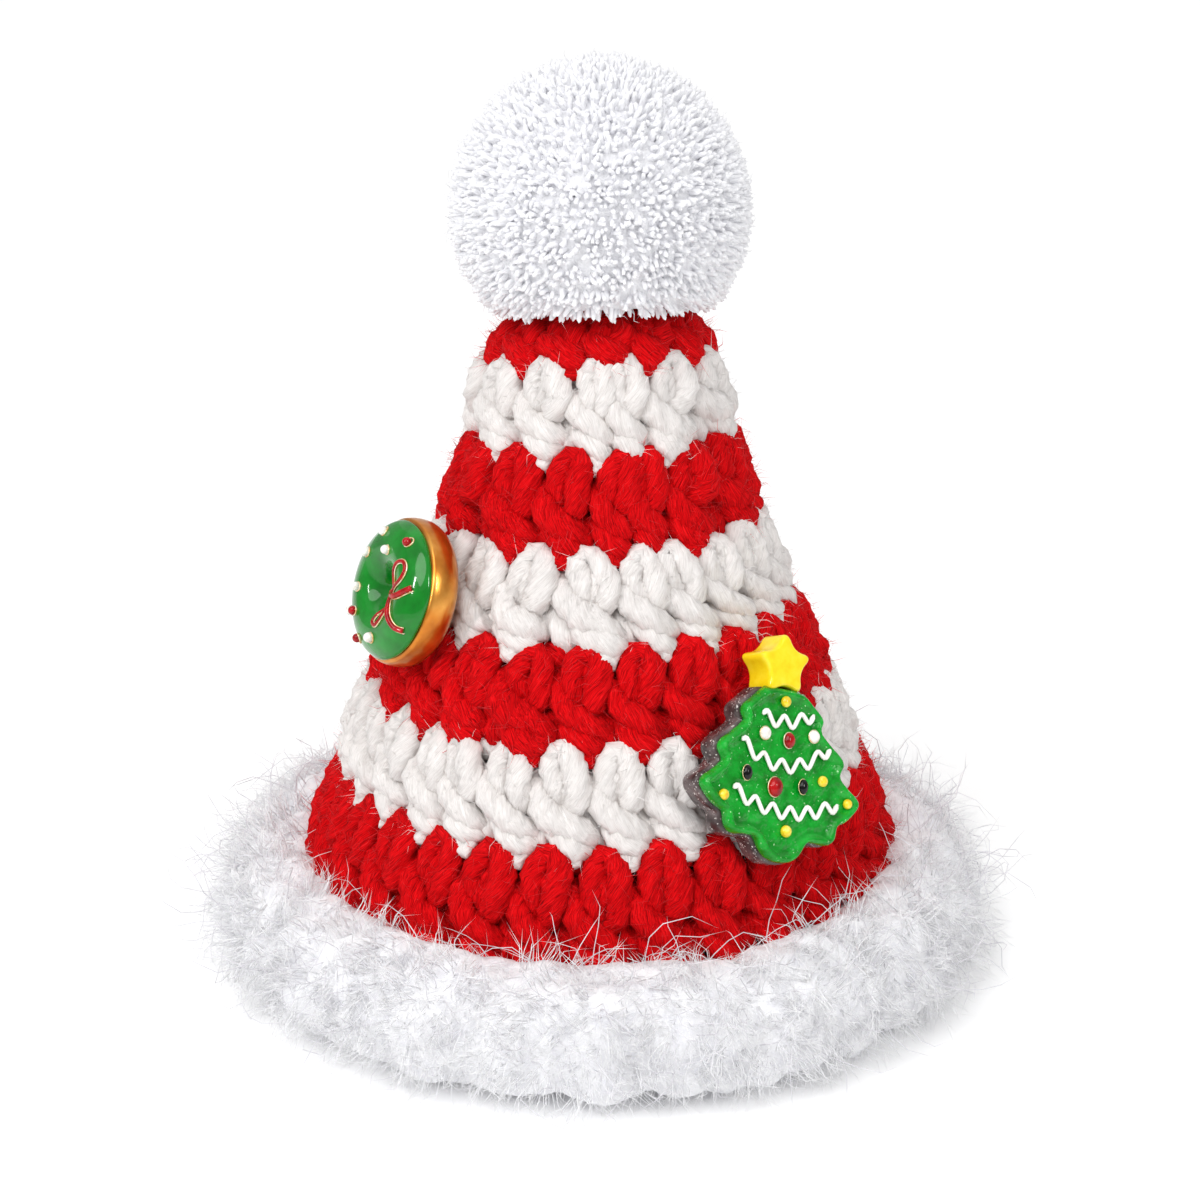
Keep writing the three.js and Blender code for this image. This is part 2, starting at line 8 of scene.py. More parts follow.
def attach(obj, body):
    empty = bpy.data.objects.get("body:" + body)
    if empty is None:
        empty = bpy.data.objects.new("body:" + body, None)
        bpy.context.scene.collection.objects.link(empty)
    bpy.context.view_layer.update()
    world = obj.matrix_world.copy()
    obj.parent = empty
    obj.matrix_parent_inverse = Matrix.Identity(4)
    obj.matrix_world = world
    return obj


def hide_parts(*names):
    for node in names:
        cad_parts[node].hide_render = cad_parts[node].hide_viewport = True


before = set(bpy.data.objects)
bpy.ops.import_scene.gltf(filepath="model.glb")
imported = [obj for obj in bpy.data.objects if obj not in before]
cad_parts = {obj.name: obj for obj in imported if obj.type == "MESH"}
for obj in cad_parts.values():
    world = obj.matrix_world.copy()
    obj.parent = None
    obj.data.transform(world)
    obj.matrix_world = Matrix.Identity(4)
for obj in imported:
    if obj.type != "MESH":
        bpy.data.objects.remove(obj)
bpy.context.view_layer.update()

# Crown
# Seven rounds of thick plied acrylic yarn, red and white by turns, crocheted one into the next.
# A stitch is a loop that hooks over the round above, wraps round its own post, and a tip that is
# pulled down between two stitches of the round below. Its measures repeat the part's own.
MM = 0.001
BODY = "root"

# Edges of the rounds from the closed top down: height and radius in mm, tilt to the front and to the
# side in degrees, set-back in mm
EDGES = np.array([
    (72.4, 9.6, 10.0, 2.0, 2.0),
    (69.2, 12.5, 10.0, 2.0, 1.8),
    (60.6, 14.6, 6.0, 1.5, 1.2),
    (51.5, 17.7, 3.5, 2.0, 0.7),
    (41.8, 21.5, 3.5, 1.0, 0.4),
    (33.1, 25.7, 1.6, 0.5, 0.1),
    (23.5, 29.2, 0.9, 0.5, 0.0),
    (12.3, 33.5, 0.0, 0.0, 0.0),
])
ROUNDS = [
    {"stitches": 12, "first": 6.0, "pair": None, "yarn": "red_yarn"},
    {"stitches": 13, "first": 0.1, "pair": 9.0, "yarn": "white_yarn"},
    {"stitches": 16, "first": 10.4, "pair": 6.5, "yarn": "red_yarn"},
    {"stitches": 20, "first": 13.9, "pair": 8.5, "yarn": "white_yarn"},
    {"stitches": 23, "first": -4.7, "pair": None, "yarn": "red_yarn"},
    {"stitches": 28, "first": -42.0, "pair": 6.0, "yarn": "white_yarn"},
    {"stitches": 30, "first": 0.6, "pair": None, "yarn": "red_yarn"},
]


def crown_point(level, angle, out):
    """A point of the crown in metres. level counts edges from the top, out is in mm from the surface."""
    index = np.arange(len(EDGES))
    below = np.maximum(level - index[-1], 0)[..., None] * (EDGES[-1] - EDGES[-2])
    above = np.minimum(level, 0)[..., None] * (EDGES[1] - EDGES[0])
    edge = np.stack([np.interp(level, index, EDGES[:, k]) for k in range(5)], -1) + below + above
    z, radius, lean, side, back = np.moveaxis(edge, -1, 0)
    turn = np.radians(angle)
    x = (radius + out) * np.sin(turn)
    y = -(radius + out) * np.cos(turn)
    z = z + x * np.sin(np.radians(side)) - y * np.sin(np.radians(lean))
    return np.stack([x, y + back, z], -1) * MM


def stitch_angles(row):
    """Where a round's stitches stand, in degrees. The first two may be a pair that stands closer."""
    step = 360 / row["stitches"]
    opening = step
    if row["pair"] is not None:
        opening = row["pair"]
        step = (360 - opening) / (row["stitches"] - 1)
    rest = [row["first"] + opening + k * step for k in range(row["stitches"] - 1)]
    return np.array([row["first"], *rest])


def tip_angles(angles, below):
    """Each stitch's tip lies in the nearest gap of the round below that is still free."""
    gaps = (below + np.append(below[1:], below[0] + 360)) / 2
    free = np.ones(len(gaps), bool)
    tips = []
    for angle in angles:
        off = (gaps - angle + 180) % 360 - 180
        off[~free] = np.inf
        nearest = np.argmin(abs(off))
        free[nearest] = False
        tips.append(angle + off[nearest])
    return np.array(tips)


# One stitch, from in front: across and up are parts of the stitch's width and of the round's height,
# out is in mm from the crown's surface and thick is the strand's radius in mm. The heart is the yarn
# seen inside the loop, the back strand fills the gap to the next stitch, and the bar shows from inside
# the hat.
TIP_LEVEL = -0.24
STITCH = {
    "loop": {"rings": 15, "path": [
        (-0.07, 0.34, -2.5, 1.1), (-0.15, 0.50, -1.4, 1.35), (-0.20, 0.66, -0.95, 1.45),
        (-0.17, 0.82, -1.0, 1.45), (0.02, 0.95, -1.35, 1.35), (0.21, 0.87, -1.0, 1.5),
        (0.26, 0.73, -0.65, 1.6), (0.25, 0.56, -0.6, 1.6), (0.16, 0.41, -1.05, 1.45),
        (0.0, 0.29, -2.5, 1.1)]},
    "loop_heart": {"rings": 6, "path": [
        (-0.02, 0.34, -2.6, 1.0), (0.02, 0.52, -1.5, 1.3), (0.04, 0.70, -1.35, 1.35),
        (0.03, 0.90, -2.3, 1.1)]},
    "wrap": {"rings": 10, "path": [
        (-0.56, 0.64, -2.8, 1.0), (-0.48, 0.52, -1.4, 1.45), (-0.35, 0.40, -0.85, 1.65),
        (-0.14, 0.29, -0.65, 1.75), (0.09, 0.20, -0.85, 1.65), (0.29, 0.12, -1.45, 1.4),
        (0.40, 0.08, -2.8, 1.0)]},
    "lower_wrap": {"rings": 8, "path": [
        (-0.42, 0.24, -2.8, 1.0), (-0.27, 0.14, -1.4, 1.4), (-0.04, 0.05, -0.95, 1.5),
        (0.18, -0.01, -1.1, 1.4), (0.33, -0.03, -2.6, 1.0)]},
    "tip": {"rings": 8, "path": [
        (-0.17, 0.05, -2.4, 0.9), (-0.09, -0.08, -1.4, 1.1), (0.0, -0.18, -1.2, 1.05),
        (0.09, -0.08, -1.35, 1.1), (0.18, 0.05, -2.4, 0.9)]},
    "back_strand": {"rings": 6, "path": [
        (-0.70, 0.34, -3.2, 0.9), (-0.62, 0.17, -2.2, 1.1), (-0.53, 0.02, -2.2, 1.1),
        (-0.43, -0.10, -3.2, 0.9)]},
    "inner_bar": {"rings": 5, "path": [
        (-0.55, 0.66, -3.8, 0.8), (-0.30, 0.60, -4.3, 1.0), (0.05, 0.45, -4.4, 1.05),
        (0.32, 0.26, -4.3, 1.0), (0.55, 0.12, -3.8, 0.8)]},
}
# The yarn that runs round behind the stitches, seen between them and from inside the hat
BACKING_LEVELS = (0.16, 0.5, 0.84)
BACKING = {"out": -3.0, "thick": 1.8, "points": 48, "rings": 56}
# The same yarn drawn together in smaller and smaller rings closes the top, under the pompom
CLOSING = {"outs": (-4.6, -6.6, -8.6), "level": 0.14}
# No two stitches are alike, and one with more room spreads and swells into it, within limits.
UNEVEN = {"across": 0.03, "up": 0.018, "out": 0.12, "thick": 0.06}
SPREAD = {"widest": 1.2, "thinnest": 0.95, "thickest": 1.2}


def round_strands(number, rng):
    """A round's strands, each as points and radii in metres, its rings, and whether it is closed."""
    row = ROUNDS[number]
    arches = stitch_angles(row)
    tips = arches
    if number + 1 < len(ROUNDS):
        tips = tip_angles(arches, stitch_angles(ROUNDS[number + 1]))
    strands = []
    even = 360 / row["stitches"]
    for k in range(len(arches)):
        for strand in STITCH.values():
            path = np.array(strand["path"])
            path = path + rng.normal(size=path.shape) * [UNEVEN["across"], UNEVEN["up"], UNEVEN["out"], 0]
            path[:, 3] *= 1 + UNEVEN["thick"] * rng.normal()
            across, up, out, thick = path.T
            part = (up - TIP_LEVEL) / (1 - TIP_LEVEL)
            middles = tips[None, :] + (arches - tips)[None, :] * part[:, None]
            own = middles[:, k]
            after = (middles[:, (k + 1) % len(arches)] - own) % 360
            before = (own - middles[:, k - 1]) % 360
            width = np.minimum(np.where(across > 0, after, before), SPREAD["widest"] * even)
            points = crown_point(number + 1 - up, own + across * width, out)
            thick = thick * np.clip(width / even, SPREAD["thinnest"], SPREAD["thickest"])
            strands.append((points, thick * MM, strand["rings"], False))
    circles = [(number + 1 - up, BACKING["out"]) for up in BACKING_LEVELS]
    if number == 0:
        circles += [(CLOSING["level"], out) for out in CLOSING["outs"]]
    angles = np.arange(BACKING["points"]) * 360 / BACKING["points"]
    for level, out in circles:
        points = crown_point(np.full(len(angles), level), angles, out)
        strands.append((points, np.full(len(points), BACKING["thick"] * MM), BACKING["rings"], True))
    return strands


def strand_mesh(name, strands, rng):
    """One polyline for each strand, with what the sweep needs to know at each of its points."""
    mesh = bpy.data.meshes.new(name)
    points, edges, thick, rings, start = [], [], [], [], []
    for path, radii, count, closed in strands:
        first = len(points)
        points.extend(path)
        edges.extend((first + k, first + k + 1) for k in range(len(path) - 1))
        if closed:
            edges.append((first + len(path) - 1, first))
        thick.extend(radii)
        rings.extend([count] * len(path))
        start.extend([rng.uniform(0, 1)] * len(path))
    mesh.from_pydata(points, edges, [])
    for label, kind, values in (
            ("thick", "FLOAT", thick), ("rings", "INT", rings), ("start", "FLOAT", start)):
        mesh.attributes.new(label, kind, "POINT").data.foreach_set("value", values)
    return mesh


def linear(code):
    """An sRGB hex colour as linear red, green, blue and alpha."""
    parts = [int(code[k:k + 2], 16) / 255 for k in (1, 3, 5)]
    return (*[p / 12.92 if p <= 0.04045 else ((p + 0.055) / 1.055) ** 2.4 for p in parts], 1.0)


def feed(tree, sockets, values):
    """Links or sets the named sockets. A node stands for its first output."""
    for key, value in values.items():
        if isinstance(value, bpy.types.Node):
            value = value.outputs[0]
        if isinstance(value, bpy.types.NodeSocket):
            tree.links.new(value, sockets[key])
        else:
            sockets[key].default_value = value


def add(tree, kind, values=None, stops=(), **settings):
    """Adds a node with its settings and links. stops are the places and colours of a colour ramp."""
    node = tree.nodes.new(kind)
    for key, value in settings.items():
        setattr(node, key, value)
    feed(tree, node.inputs, values or {})
    for position, code in stops[1:-1]:
        node.color_ramp.elements.new(position)
    for k, (position, code) in enumerate(stops):
        node.color_ramp.elements[k].position = position
        node.color_ramp.elements[k].color = linear(code)
    return node


def geometry_tree(name, inputs):
    """An empty tree with a mesh going in and out, and the named inputs."""
    tree = bpy.data.node_groups.new(name, "GeometryNodeTree")
    for label, kind in [("Geometry", "NodeSocketGeometry"), *inputs]:
        tree.interface.new_socket(label, in_out="INPUT", socket_type=kind)
    tree.interface.new_socket("Geometry", in_out="OUTPUT", socket_type="NodeSocketGeometry")
    return tree, tree.nodes.new("NodeGroupInput").outputs, tree.nodes.new("NodeGroupOutput").inputs


def grown(name, mesh, tree, values):
    """Runs a tree on a mesh and keeps the result as a plain mesh."""
    piece = bpy.data.objects.new(name, mesh)
    bpy.context.scene.collection.objects.link(piece)
    modifier = piece.modifiers.new("grow", "NODES")
    modifier.node_group = tree
    for item in tree.interface.items_tree:
        if item.in_out == "INPUT" and item.name in values:
            modifier[item.identifier] = values[item.name]
    result = bpy.data.meshes.new_from_object(piece.evaluated_get(bpy.context.evaluated_depsgraph_get()))
    piece.modifiers.remove(modifier)
    piece.data = result
    result.name = name
    return piece


# The sweep gives a strand its plies, which turn round it. It keeps where each point is on its fibre.
SIDES_PER_PLY = 4
sweep, given, result = geometry_tree("yarn sweep", [
    ("Plies", "NodeSocketInt"), ("Ply depth", "NodeSocketFloat"), ("Twist", "NodeSocketFloat"),
    ("Yarn", "NodeSocketMaterial")])
lines = add(sweep, "GeometryNodeMeshToCurve", {"Mesh": given["Geometry"]})
curved = add(sweep, "GeometryNodeCurveSplineType", {"Curve": lines}, spline_type="CATMULL_ROM")
rings, start, thick = [
    add(sweep, "GeometryNodeInputNamedAttribute", {"Name": label}, data_type=kind)
    for label, kind in (("rings", "INT"), ("start", "FLOAT"), ("thick", "FLOAT"))]
evened = add(sweep, "GeometryNodeResampleCurve", {"Curve": curved, "Count": rings}, mode="COUNT")
spline = add(sweep, "GeometryNodeSplineParameter")
along = add(sweep, "ShaderNodeMath", {0: spline.outputs["Length"], 1: start}, operation="ADD")
turned_by = add(sweep, "ShaderNodeMath", {0: along, 1: given["Twist"]}, operation="MULTIPLY")
twisted = add(sweep, "GeometryNodeSetCurveTilt", {"Curve": evened, "Tilt": turned_by})
kept = add(sweep, "GeometryNodeCaptureAttribute")
kept.capture_items.new("FLOAT", "Along")
kept.capture_items.new("FLOAT", "Thick")
feed(sweep, kept.inputs, {"Geometry": twisted, "Along": along, "Thick": thick})
sides = add(sweep, "ShaderNodeMath", {0: given["Plies"], 1: SIDES_PER_PLY}, operation="MULTIPLY")
circle = add(sweep, "GeometryNodeCurvePrimitiveCircle", {"Resolution": sides, "Radius": 1.0})
# Half a wave for each ply, without its sign, makes one bump for each ply round the section.
angle = add(sweep, "ShaderNodeMath", {0: spline, 1: math.tau}, operation="MULTIPLY")
half_plies = add(sweep, "ShaderNodeMath", {0: given["Plies"], 1: 0.5}, operation="MULTIPLY")
ply_low = add(sweep, "ShaderNodeMath", {0: 1.0, 1: given["Ply depth"]}, operation="SUBTRACT")
ply_radius = angle
for operation, others in (("MULTIPLY", {1: half_plies}), ("SINE", {}), ("ABSOLUTE", {}),
                          ("MULTIPLY_ADD", {1: given["Ply depth"], 2: ply_low})):
    ply_radius = add(sweep, "ShaderNodeMath", {0: ply_radius, **others}, operation=operation)
place = add(sweep, "GeometryNodeInputPosition")
ply_place = add(sweep, "ShaderNodeVectorMath", {"Vector": place, "Scale": ply_radius}, operation="SCALE")
section = add(sweep, "GeometryNodeSetPosition", {"Geometry": circle, "Position": ply_place})
section_kept = add(sweep, "GeometryNodeCaptureAttribute")
section_kept.capture_items.new("FLOAT", "Angle")
feed(sweep, section_kept.inputs, {"Geometry": section, "Angle": angle})
swept = add(sweep, "GeometryNodeCurveToMesh", {
    "Curve": kept, "Profile Curve": section_kept, "Scale": kept.outputs["Thick"], "Fill Caps": True})
fibre = add(sweep, "ShaderNodeCombineXYZ", {"Z": kept.outputs["Along"]})
for axis, operation in (("X", "COSINE"), ("Y", "SINE")):
    wave = add(sweep, "ShaderNodeMath", {0: section_kept.outputs["Angle"]}, operation=operation)
    off = add(sweep, "ShaderNodeMath", {0: wave, 1: kept.outputs["Thick"]}, operation="MULTIPLY")
    feed(sweep, fibre.inputs, {axis: off})
marked = add(sweep, "GeometryNodeStoreNamedAttribute", {"Geometry": swept, "Name": "fibre", "Value": fibre},
             data_type="FLOAT_VECTOR", domain="POINT")
smooth = add(sweep, "GeometryNodeSetShadeSmooth", {"Geometry": marked})
whole = add(sweep, "GeometryNodeRealizeInstances", {"Geometry": smooth})
dyed = add(sweep, "GeometryNodeSetMaterial", {"Geometry": whole, "Material": given["Yarn"]})
feed(sweep, result, {"Geometry": dyed})

# The scatter sets small sprigs on a surface, such as loose hairs. The surface's own attributes say
# where they grow and how far each is stretched.
scatter, given, result = geometry_tree("sprigs", [
    ("Sprigs", "NodeSocketCollection"), ("Per square metre", "NodeSocketFloat"),
    ("Spacing", "NodeSocketFloat"), ("Lean", "NodeSocketFloat"), ("Hang", "NodeSocketVector"),
    ("Shortest", "NodeSocketFloat"), ("Longest", "NodeSocketFloat"), ("Seed", "NodeSocketInt"),
    ("Finish", "NodeSocketMaterial")])
grows = add(scatter, "GeometryNodeInputNamedAttribute", {"Name": "grow"}, data_type="FLOAT")
stretch = add(scatter, "GeometryNodeInputNamedAttribute", {"Name": "stretch"}, data_type="FLOAT")
roots = add(scatter, "GeometryNodeDistributePointsOnFaces", {
    "Mesh": given["Geometry"], "Distance Min": given["Spacing"], "Density Max": given["Per square metre"],
    "Density Factor": grows, "Seed": given["Seed"]}, distribute_method="POISSON")
shake = add(scatter, "FunctionNodeRandomValue", {
    "Min": (-1, -1, -1), "Max": (1, 1, 1), "Seed": given["Seed"]}, data_type="FLOAT_VECTOR")
shaken = add(scatter, "ShaderNodeVectorMath", {
    0: shake, 1: given["Lean"], 2: roots.outputs["Normal"]}, operation="MULTIPLY_ADD")
hung = add(scatter, "ShaderNodeVectorMath", {0: shaken, 1: given["Hang"]}, operation="ADD")
stood = add(scatter, "FunctionNodeAlignRotationToVector", {"Vector": hung}, axis="Z")
spin_seed = add(scatter, "ShaderNodeMath", {0: given["Seed"], 1: 1.0}, operation="ADD")
spin = add(scatter, "FunctionNodeRandomValue", {
    "Min": (0, 0, 0), "Max": (0, 0, math.tau), "Seed": spin_seed}, data_type="FLOAT_VECTOR")
spin_turn = add(scatter, "FunctionNodeEulerToRotation", {"Euler": spin})
spun = add(scatter, "FunctionNodeRotateRotation", {
    "Rotation": stood, "Rotate By": spin_turn}, rotation_space="LOCAL")
size_seed = add(scatter, "ShaderNodeMath", {0: given["Seed"], 1: 2.0}, operation="ADD")
size = add(scatter, "FunctionNodeRandomValue", {
    2: given["Shortest"], 3: given["Longest"], "Seed": size_seed}, data_type="FLOAT")
scale = add(scatter, "ShaderNodeMath", {0: size.outputs[1], 1: stretch}, operation="MULTIPLY")
kinds = add(scatter, "GeometryNodeCollectionInfo", {
    "Collection": given["Sprigs"], "Separate Children": True, "Reset Children": True})
stuck = add(scatter, "GeometryNodeInstanceOnPoints", {
    "Points": roots, "Instance": kinds, "Pick Instance": True, "Rotation": spun, "Scale": scale})
real = add(scatter, "GeometryNodeRealizeInstances", {"Geometry": stuck})
coloured = add(scatter, "GeometryNodeSetMaterial", {"Geometry": real, "Material": given["Finish"]})
feed(scatter, result, {"Geometry": coloured})


def new_material(name):
    """A material with its shader's inputs, ready for nodes."""
    material = bpy.data.materials.new(name)
    material.use_nodes = True
    return material, material.node_tree, material.node_tree.nodes["Principled BSDF"].inputs


# The fibres are drawn a few times coarser than real ones, so that they show in the render.
FIBRE = {"across": 0.15, "along": 2.0, "tangle": 1.8, "relief": 0.24}
PLY = {"count": 4, "depth": 0.14, "turn": 11.0}
LOOSE_PATCH = 1.2


def plied_yarn(name, deep, body, bright):
    """Plied acrylic yarn: matt and soft, with fine lines of fibre that follow the twist."""
    material, tree, shader = new_material(name)
    place = add(tree, "ShaderNodeAttribute", attribute_name="fibre")
    drawn = add(tree, "ShaderNodeMapping", {"Vector": place.outputs["Vector"], "Scale": (
        1 / (FIBRE["across"] * MM), 1 / (FIBRE["across"] * MM), 1 / (FIBRE["along"] * MM))})
    lines = add(tree, "ShaderNodeTexNoise", {
        "Vector": drawn, "Scale": 1.0, "Detail": 3.0, "Roughness": 0.6, "Distortion": FIBRE["tangle"]})
    tint = add(tree, "ShaderNodeValToRGB", {"Fac": lines}, [(0.32, deep), (0.48, body), (0.72, bright)])
    relief = add(tree, "ShaderNodeBump", {
        "Height": lines, "Strength": 0.7, "Distance": FIBRE["relief"] * MM})
    feed(tree, shader, {
        "Base Color": tint, "Normal": relief, "Roughness": 0.92, "Specular IOR Level": 0.1,
        "Sheen Weight": 0.12, "Sheen Roughness": 0.5, "Sheen Tint": linear(bright)})
    return material


def loose_fibre(name, deep, bright):
    """Single fibres that stand out of the yarn: thin, a little shiny, lighter than the yarn."""
    material, tree, shader = new_material(name)
    place = add(tree, "ShaderNodeTexCoord").outputs["Object"]
    patches = add(tree, "ShaderNodeTexNoise", {
        "Vector": place, "Scale": 1 / (LOOSE_PATCH * MM), "Detail": 1.0})
    tint = add(tree, "ShaderNodeValToRGB", {"Fac": patches}, [(0.35, deep), (0.65, bright)])
    feed(tree, shader, {"Base Color": tint, "Roughness": 0.6})
    return material


yarns = {
    "red_yarn": plied_yarn("red plied acrylic", "#640003", "#D00007", "#FA1A20"),
    "white_yarn": plied_yarn("white plied acrylic", "#D8D2CF", "#ECE7E4", "#F9F6F4"),
}
fuzz = {
    "red_yarn": loose_fibre("loose red fibre", "#C00810", "#E4242C"),
    "white_yarn": loose_fibre("loose white fibre", "#E8E4E2", "#F8F6F5"),
}
# A direction that no tube sets out along
ASKEW = (0.31, 0.87, 0.38)


def unit(rows):
    """Directions, each one long."""
    return rows / np.linalg.norm(rows, axis=1)[:, None]


def full_turn(count):
    """Even steps round a circle, in radians."""
    return np.arange(count) * math.tau / count


def band(low, high, count):
    """Faces between two rings of corners, which start at low and at high."""
    steps = [(k, (k + 1) % count) for k in range(count)]
    return [(low + k, low + after, high + after, high + k) for k, after in steps]


def tube(points, radii, sides, closed=False):
    """Corners and faces of a round tube along points, closed at its ends."""
    points = np.asarray(points, float)
    ahead = np.roll(points, -1, 0) - points
    behind = points - np.roll(points, 1, 0)
    if not closed:
        ahead[-1] = behind[-1]
        behind[0] = ahead[0]
    forward = unit(unit(ahead) + unit(behind))
    side = np.cross(forward[0], ASKEW)
    corners = []
    for point, direction, radius in zip(points, forward, np.broadcast_to(radii, len(points))):
        side = side - direction * (side @ direction)
        side /= np.linalg.norm(side)
        other = np.cross(direction, side)
        for k in range(sides):
            turn = math.tau * k / sides
            corners.append(point + radius * (math.cos(turn) * side + math.sin(turn) * other))
    faces = []
    count = len(points)
    for k in range(count if closed else count - 1):
        faces += band(k * sides, (k + 1) % count * sides, sides)
    if not closed:
        faces.append(tuple(range(sides))[::-1])
        faces.append(tuple(range((count - 1) * sides, count * sides)))
    return np.array(corners), faces


def joined(parts):
    """Several lots of corners and faces as one."""
    corners, faces = [], []
    for part_corners, part_faces in parts:
        first = len(corners)
        corners.extend(part_corners)
        faces.extend(tuple(first + k for k in face) for face in part_faces)
    return corners, faces


def sprig_collection(name, shapes):
    """Hidden patterns for the scatter, one object for each shape."""
    patterns = bpy.data.collections.new(name)
    for k, (corners, faces) in enumerate(shapes):
        mesh = bpy.data.meshes.new(f"{name}_{k}")
        mesh.from_pydata([tuple(c) for c in corners], [], faces)
        mesh.shade_smooth()
        patterns.objects.link(bpy.data.objects.new(f"{name}_{k}", mesh))
    return patterns


def set_growth(mesh, grow, stretch):
    """What the scatter reads from a surface: how thickly sprigs grow, and how far they stretch."""
    for label, values in (("grow", grow), ("stretch", stretch)):
        mesh.attributes.new(label, "FLOAT", "POINT").data.foreach_set("value", values)


def scattered(name, ground, sprigs, sizes, seed, finish):
    """Sprigs grown on a surface. Only a size with hang has sprigs that droop."""
    return grown(name, ground, scatter, {
        "Sprigs": sprigs, "Per square metre": sizes["per_mm2"] / MM ** 2, "Spacing": sizes["spacing"] * MM,
        "Lean": sizes["lean"], "Hang": sizes.get("hang", (0.0, 0.0, 0.0)), "Shortest": sizes["shortest"],
        "Longest": sizes["longest"], "Seed": seed, "Finish": finish})


def corners_and_normals(mesh):
    """A mesh's corners, in metres, and their normals."""
    corners = np.zeros(len(mesh.vertices) * 3, np.float32)
    normals = np.zeros(len(mesh.vertices) * 3, np.float32)
    mesh.vertices.foreach_get("co", corners)
    mesh.vertex_normals.foreach_get("vector", normals)
    return corners.reshape(-1, 3), normals.reshape(-1, 3)


def spike(points, radii, sides):
    """Corners and faces of a round tube along points, which ends in a point."""
    corners, faces = tube(points[:-1], radii, sides)
    tip = len(corners)
    ends = [(tip - sides + k, tip - sides + (k + 1) % sides, tip) for k in range(sides)]
    return np.concatenate([corners, points[-1:]]), faces[:-1] + ends


# A hair, in parts of its length and thickness: how deep its root is sunk, how much thinner it gets, and
# how flat it may lie. Its waves are in radians.
HAIR = {"sunk": 0.12, "taper": 0.4, "flattest": 0.2, "waves": (4, 7), "sides": 3}


def hair(rng, reach, bend, thick, steps, curl):
    """One loose hair, rooted just under the origin, bent to one side and thinner to its tip."""
    part = np.linspace(-HAIR["sunk"], 1, steps + 1)
    way = rng.uniform(0, math.tau)
    wave = curl * np.sin(part * rng.uniform(*HAIR["waves"]) + rng.uniform(0, math.tau))
    off = bend * part ** 2
    x = off * math.cos(way) - wave * math.sin(way) * part
    y = off * math.sin(way) + wave * math.cos(way) * part
    z = part * np.sqrt(np.maximum(1 - bend ** 2 * part ** 2, HAIR["flattest"]))
    girth = thick * (1 - HAIR["taper"] * part[:-1])
    return spike(np.stack([x, y, z], -1) * reach, girth, HAIR["sides"])


def bristle(bend, thick):
    """A straight hair of few faces, one millimetre high, rooted just under the origin."""
    turn = full_turn(3)
    foot = np.stack([thick * np.cos(turn), thick * np.sin(turn), np.full(3, -HAIR["sunk"])], -1)
    corners = np.concatenate([foot, [(bend, 0, math.sqrt(1 - bend ** 2))]])
    return corners * MM, [(2, 1, 0), (0, 1, 3), (1, 2, 3), (2, 0, 3)]


# Loose fibres stand out of the yarn where it faces out of the hat. Lengths are in mm.
FUZZ = {"thick": 0.014, "per_mm2": 0.84, "spacing": 0.0, "lean": 1.2, "shortest": 0.8, "longest": 2.6}
FACING = {"gain": 4, "least": 0.6}
YARN_SEED = 100
FUZZ_SEED = 20
fuzz_rng = np.random.default_rng(11)
fuzz_hairs = sprig_collection("fuzz_hair", [
    *[hair(fuzz_rng, MM, bend, FUZZ["thick"] * MM, steps=2, curl=0.12) for bend in (0.5, 0.75)],
    *[bristle(bend, FUZZ["thick"]) for bend in (0.1, 0.3, 0.5, 0.7)]])

for number, row in enumerate(ROUNDS):
    rng = np.random.default_rng(YARN_SEED + number)
    lines = strand_mesh(f"round_{number + 1}_lines", round_strands(number, rng), rng)
    piece = grown(f"crown_round_{number + 1}_yarn", lines, sweep, {
        "Plies": PLY["count"], "Ply depth": PLY["depth"], "Twist": math.tau / (PLY["turn"] * MM),
        "Yarn": yarns[row["yarn"]]})
    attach(piece, BODY)
    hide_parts(f"crown_round_{number + 1}")
    corners, normals = corners_and_normals(piece.data)
    outward = corners * [1, 1, 0]
    outward /= np.linalg.norm(outward, axis=1)[:, None] + 1e-9
    facing = (normals * outward).sum(1)
    ground = piece.data.copy()
    set_growth(ground, np.clip(FACING["gain"] * facing - FACING["least"], 0, 1), np.ones(len(corners)))
    finish = fuzz[row["yarn"]]
    hairs = scattered(
        f"crown_round_{number + 1}_fuzz", ground, fuzz_hairs, FUZZ, FUZZ_SEED + number, finish)
    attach(hairs, BODY)

# Brim
# A thick border of white eyelash yarn, worked onto the crown's lowest edge: a lumpy soft core,
# a dense short pile on it, and long shiny hairs that stand out and lie over the lowest red round.
# Its section, radius and height in mm, from the inner foot outwards and round
BRIM_SECTION = [(34.8, 1.9), (38.8, 1.9), (40.8, 2.9), (41.8, 5.0), (41.5, 7.8), (40.0, 10.5),
                (37.6, 12.4), (34.8, 12.9), (32.2, 12.2), (30.6, 10.8), (31.4, 6.8), (33.0, 3.4)]
BRIM = {"around": 320, "along": 56, "inside": 33.5, "under": -0.6}
# Lumps of yarn, in mm. They fade towards the inside, where the crown is.
BRIM_LUMPS = {"width": 5.2, "depth": 2.4, "middle": 0.55, "fine_width": 1.7, "fine_depth": 0.4}
LUMP_FADE = {"from": 31.0, "over": 4.0, "least": 0.15}
FLOOR_CLEAR = 0.2
FLOOR_SOFT = 0.8


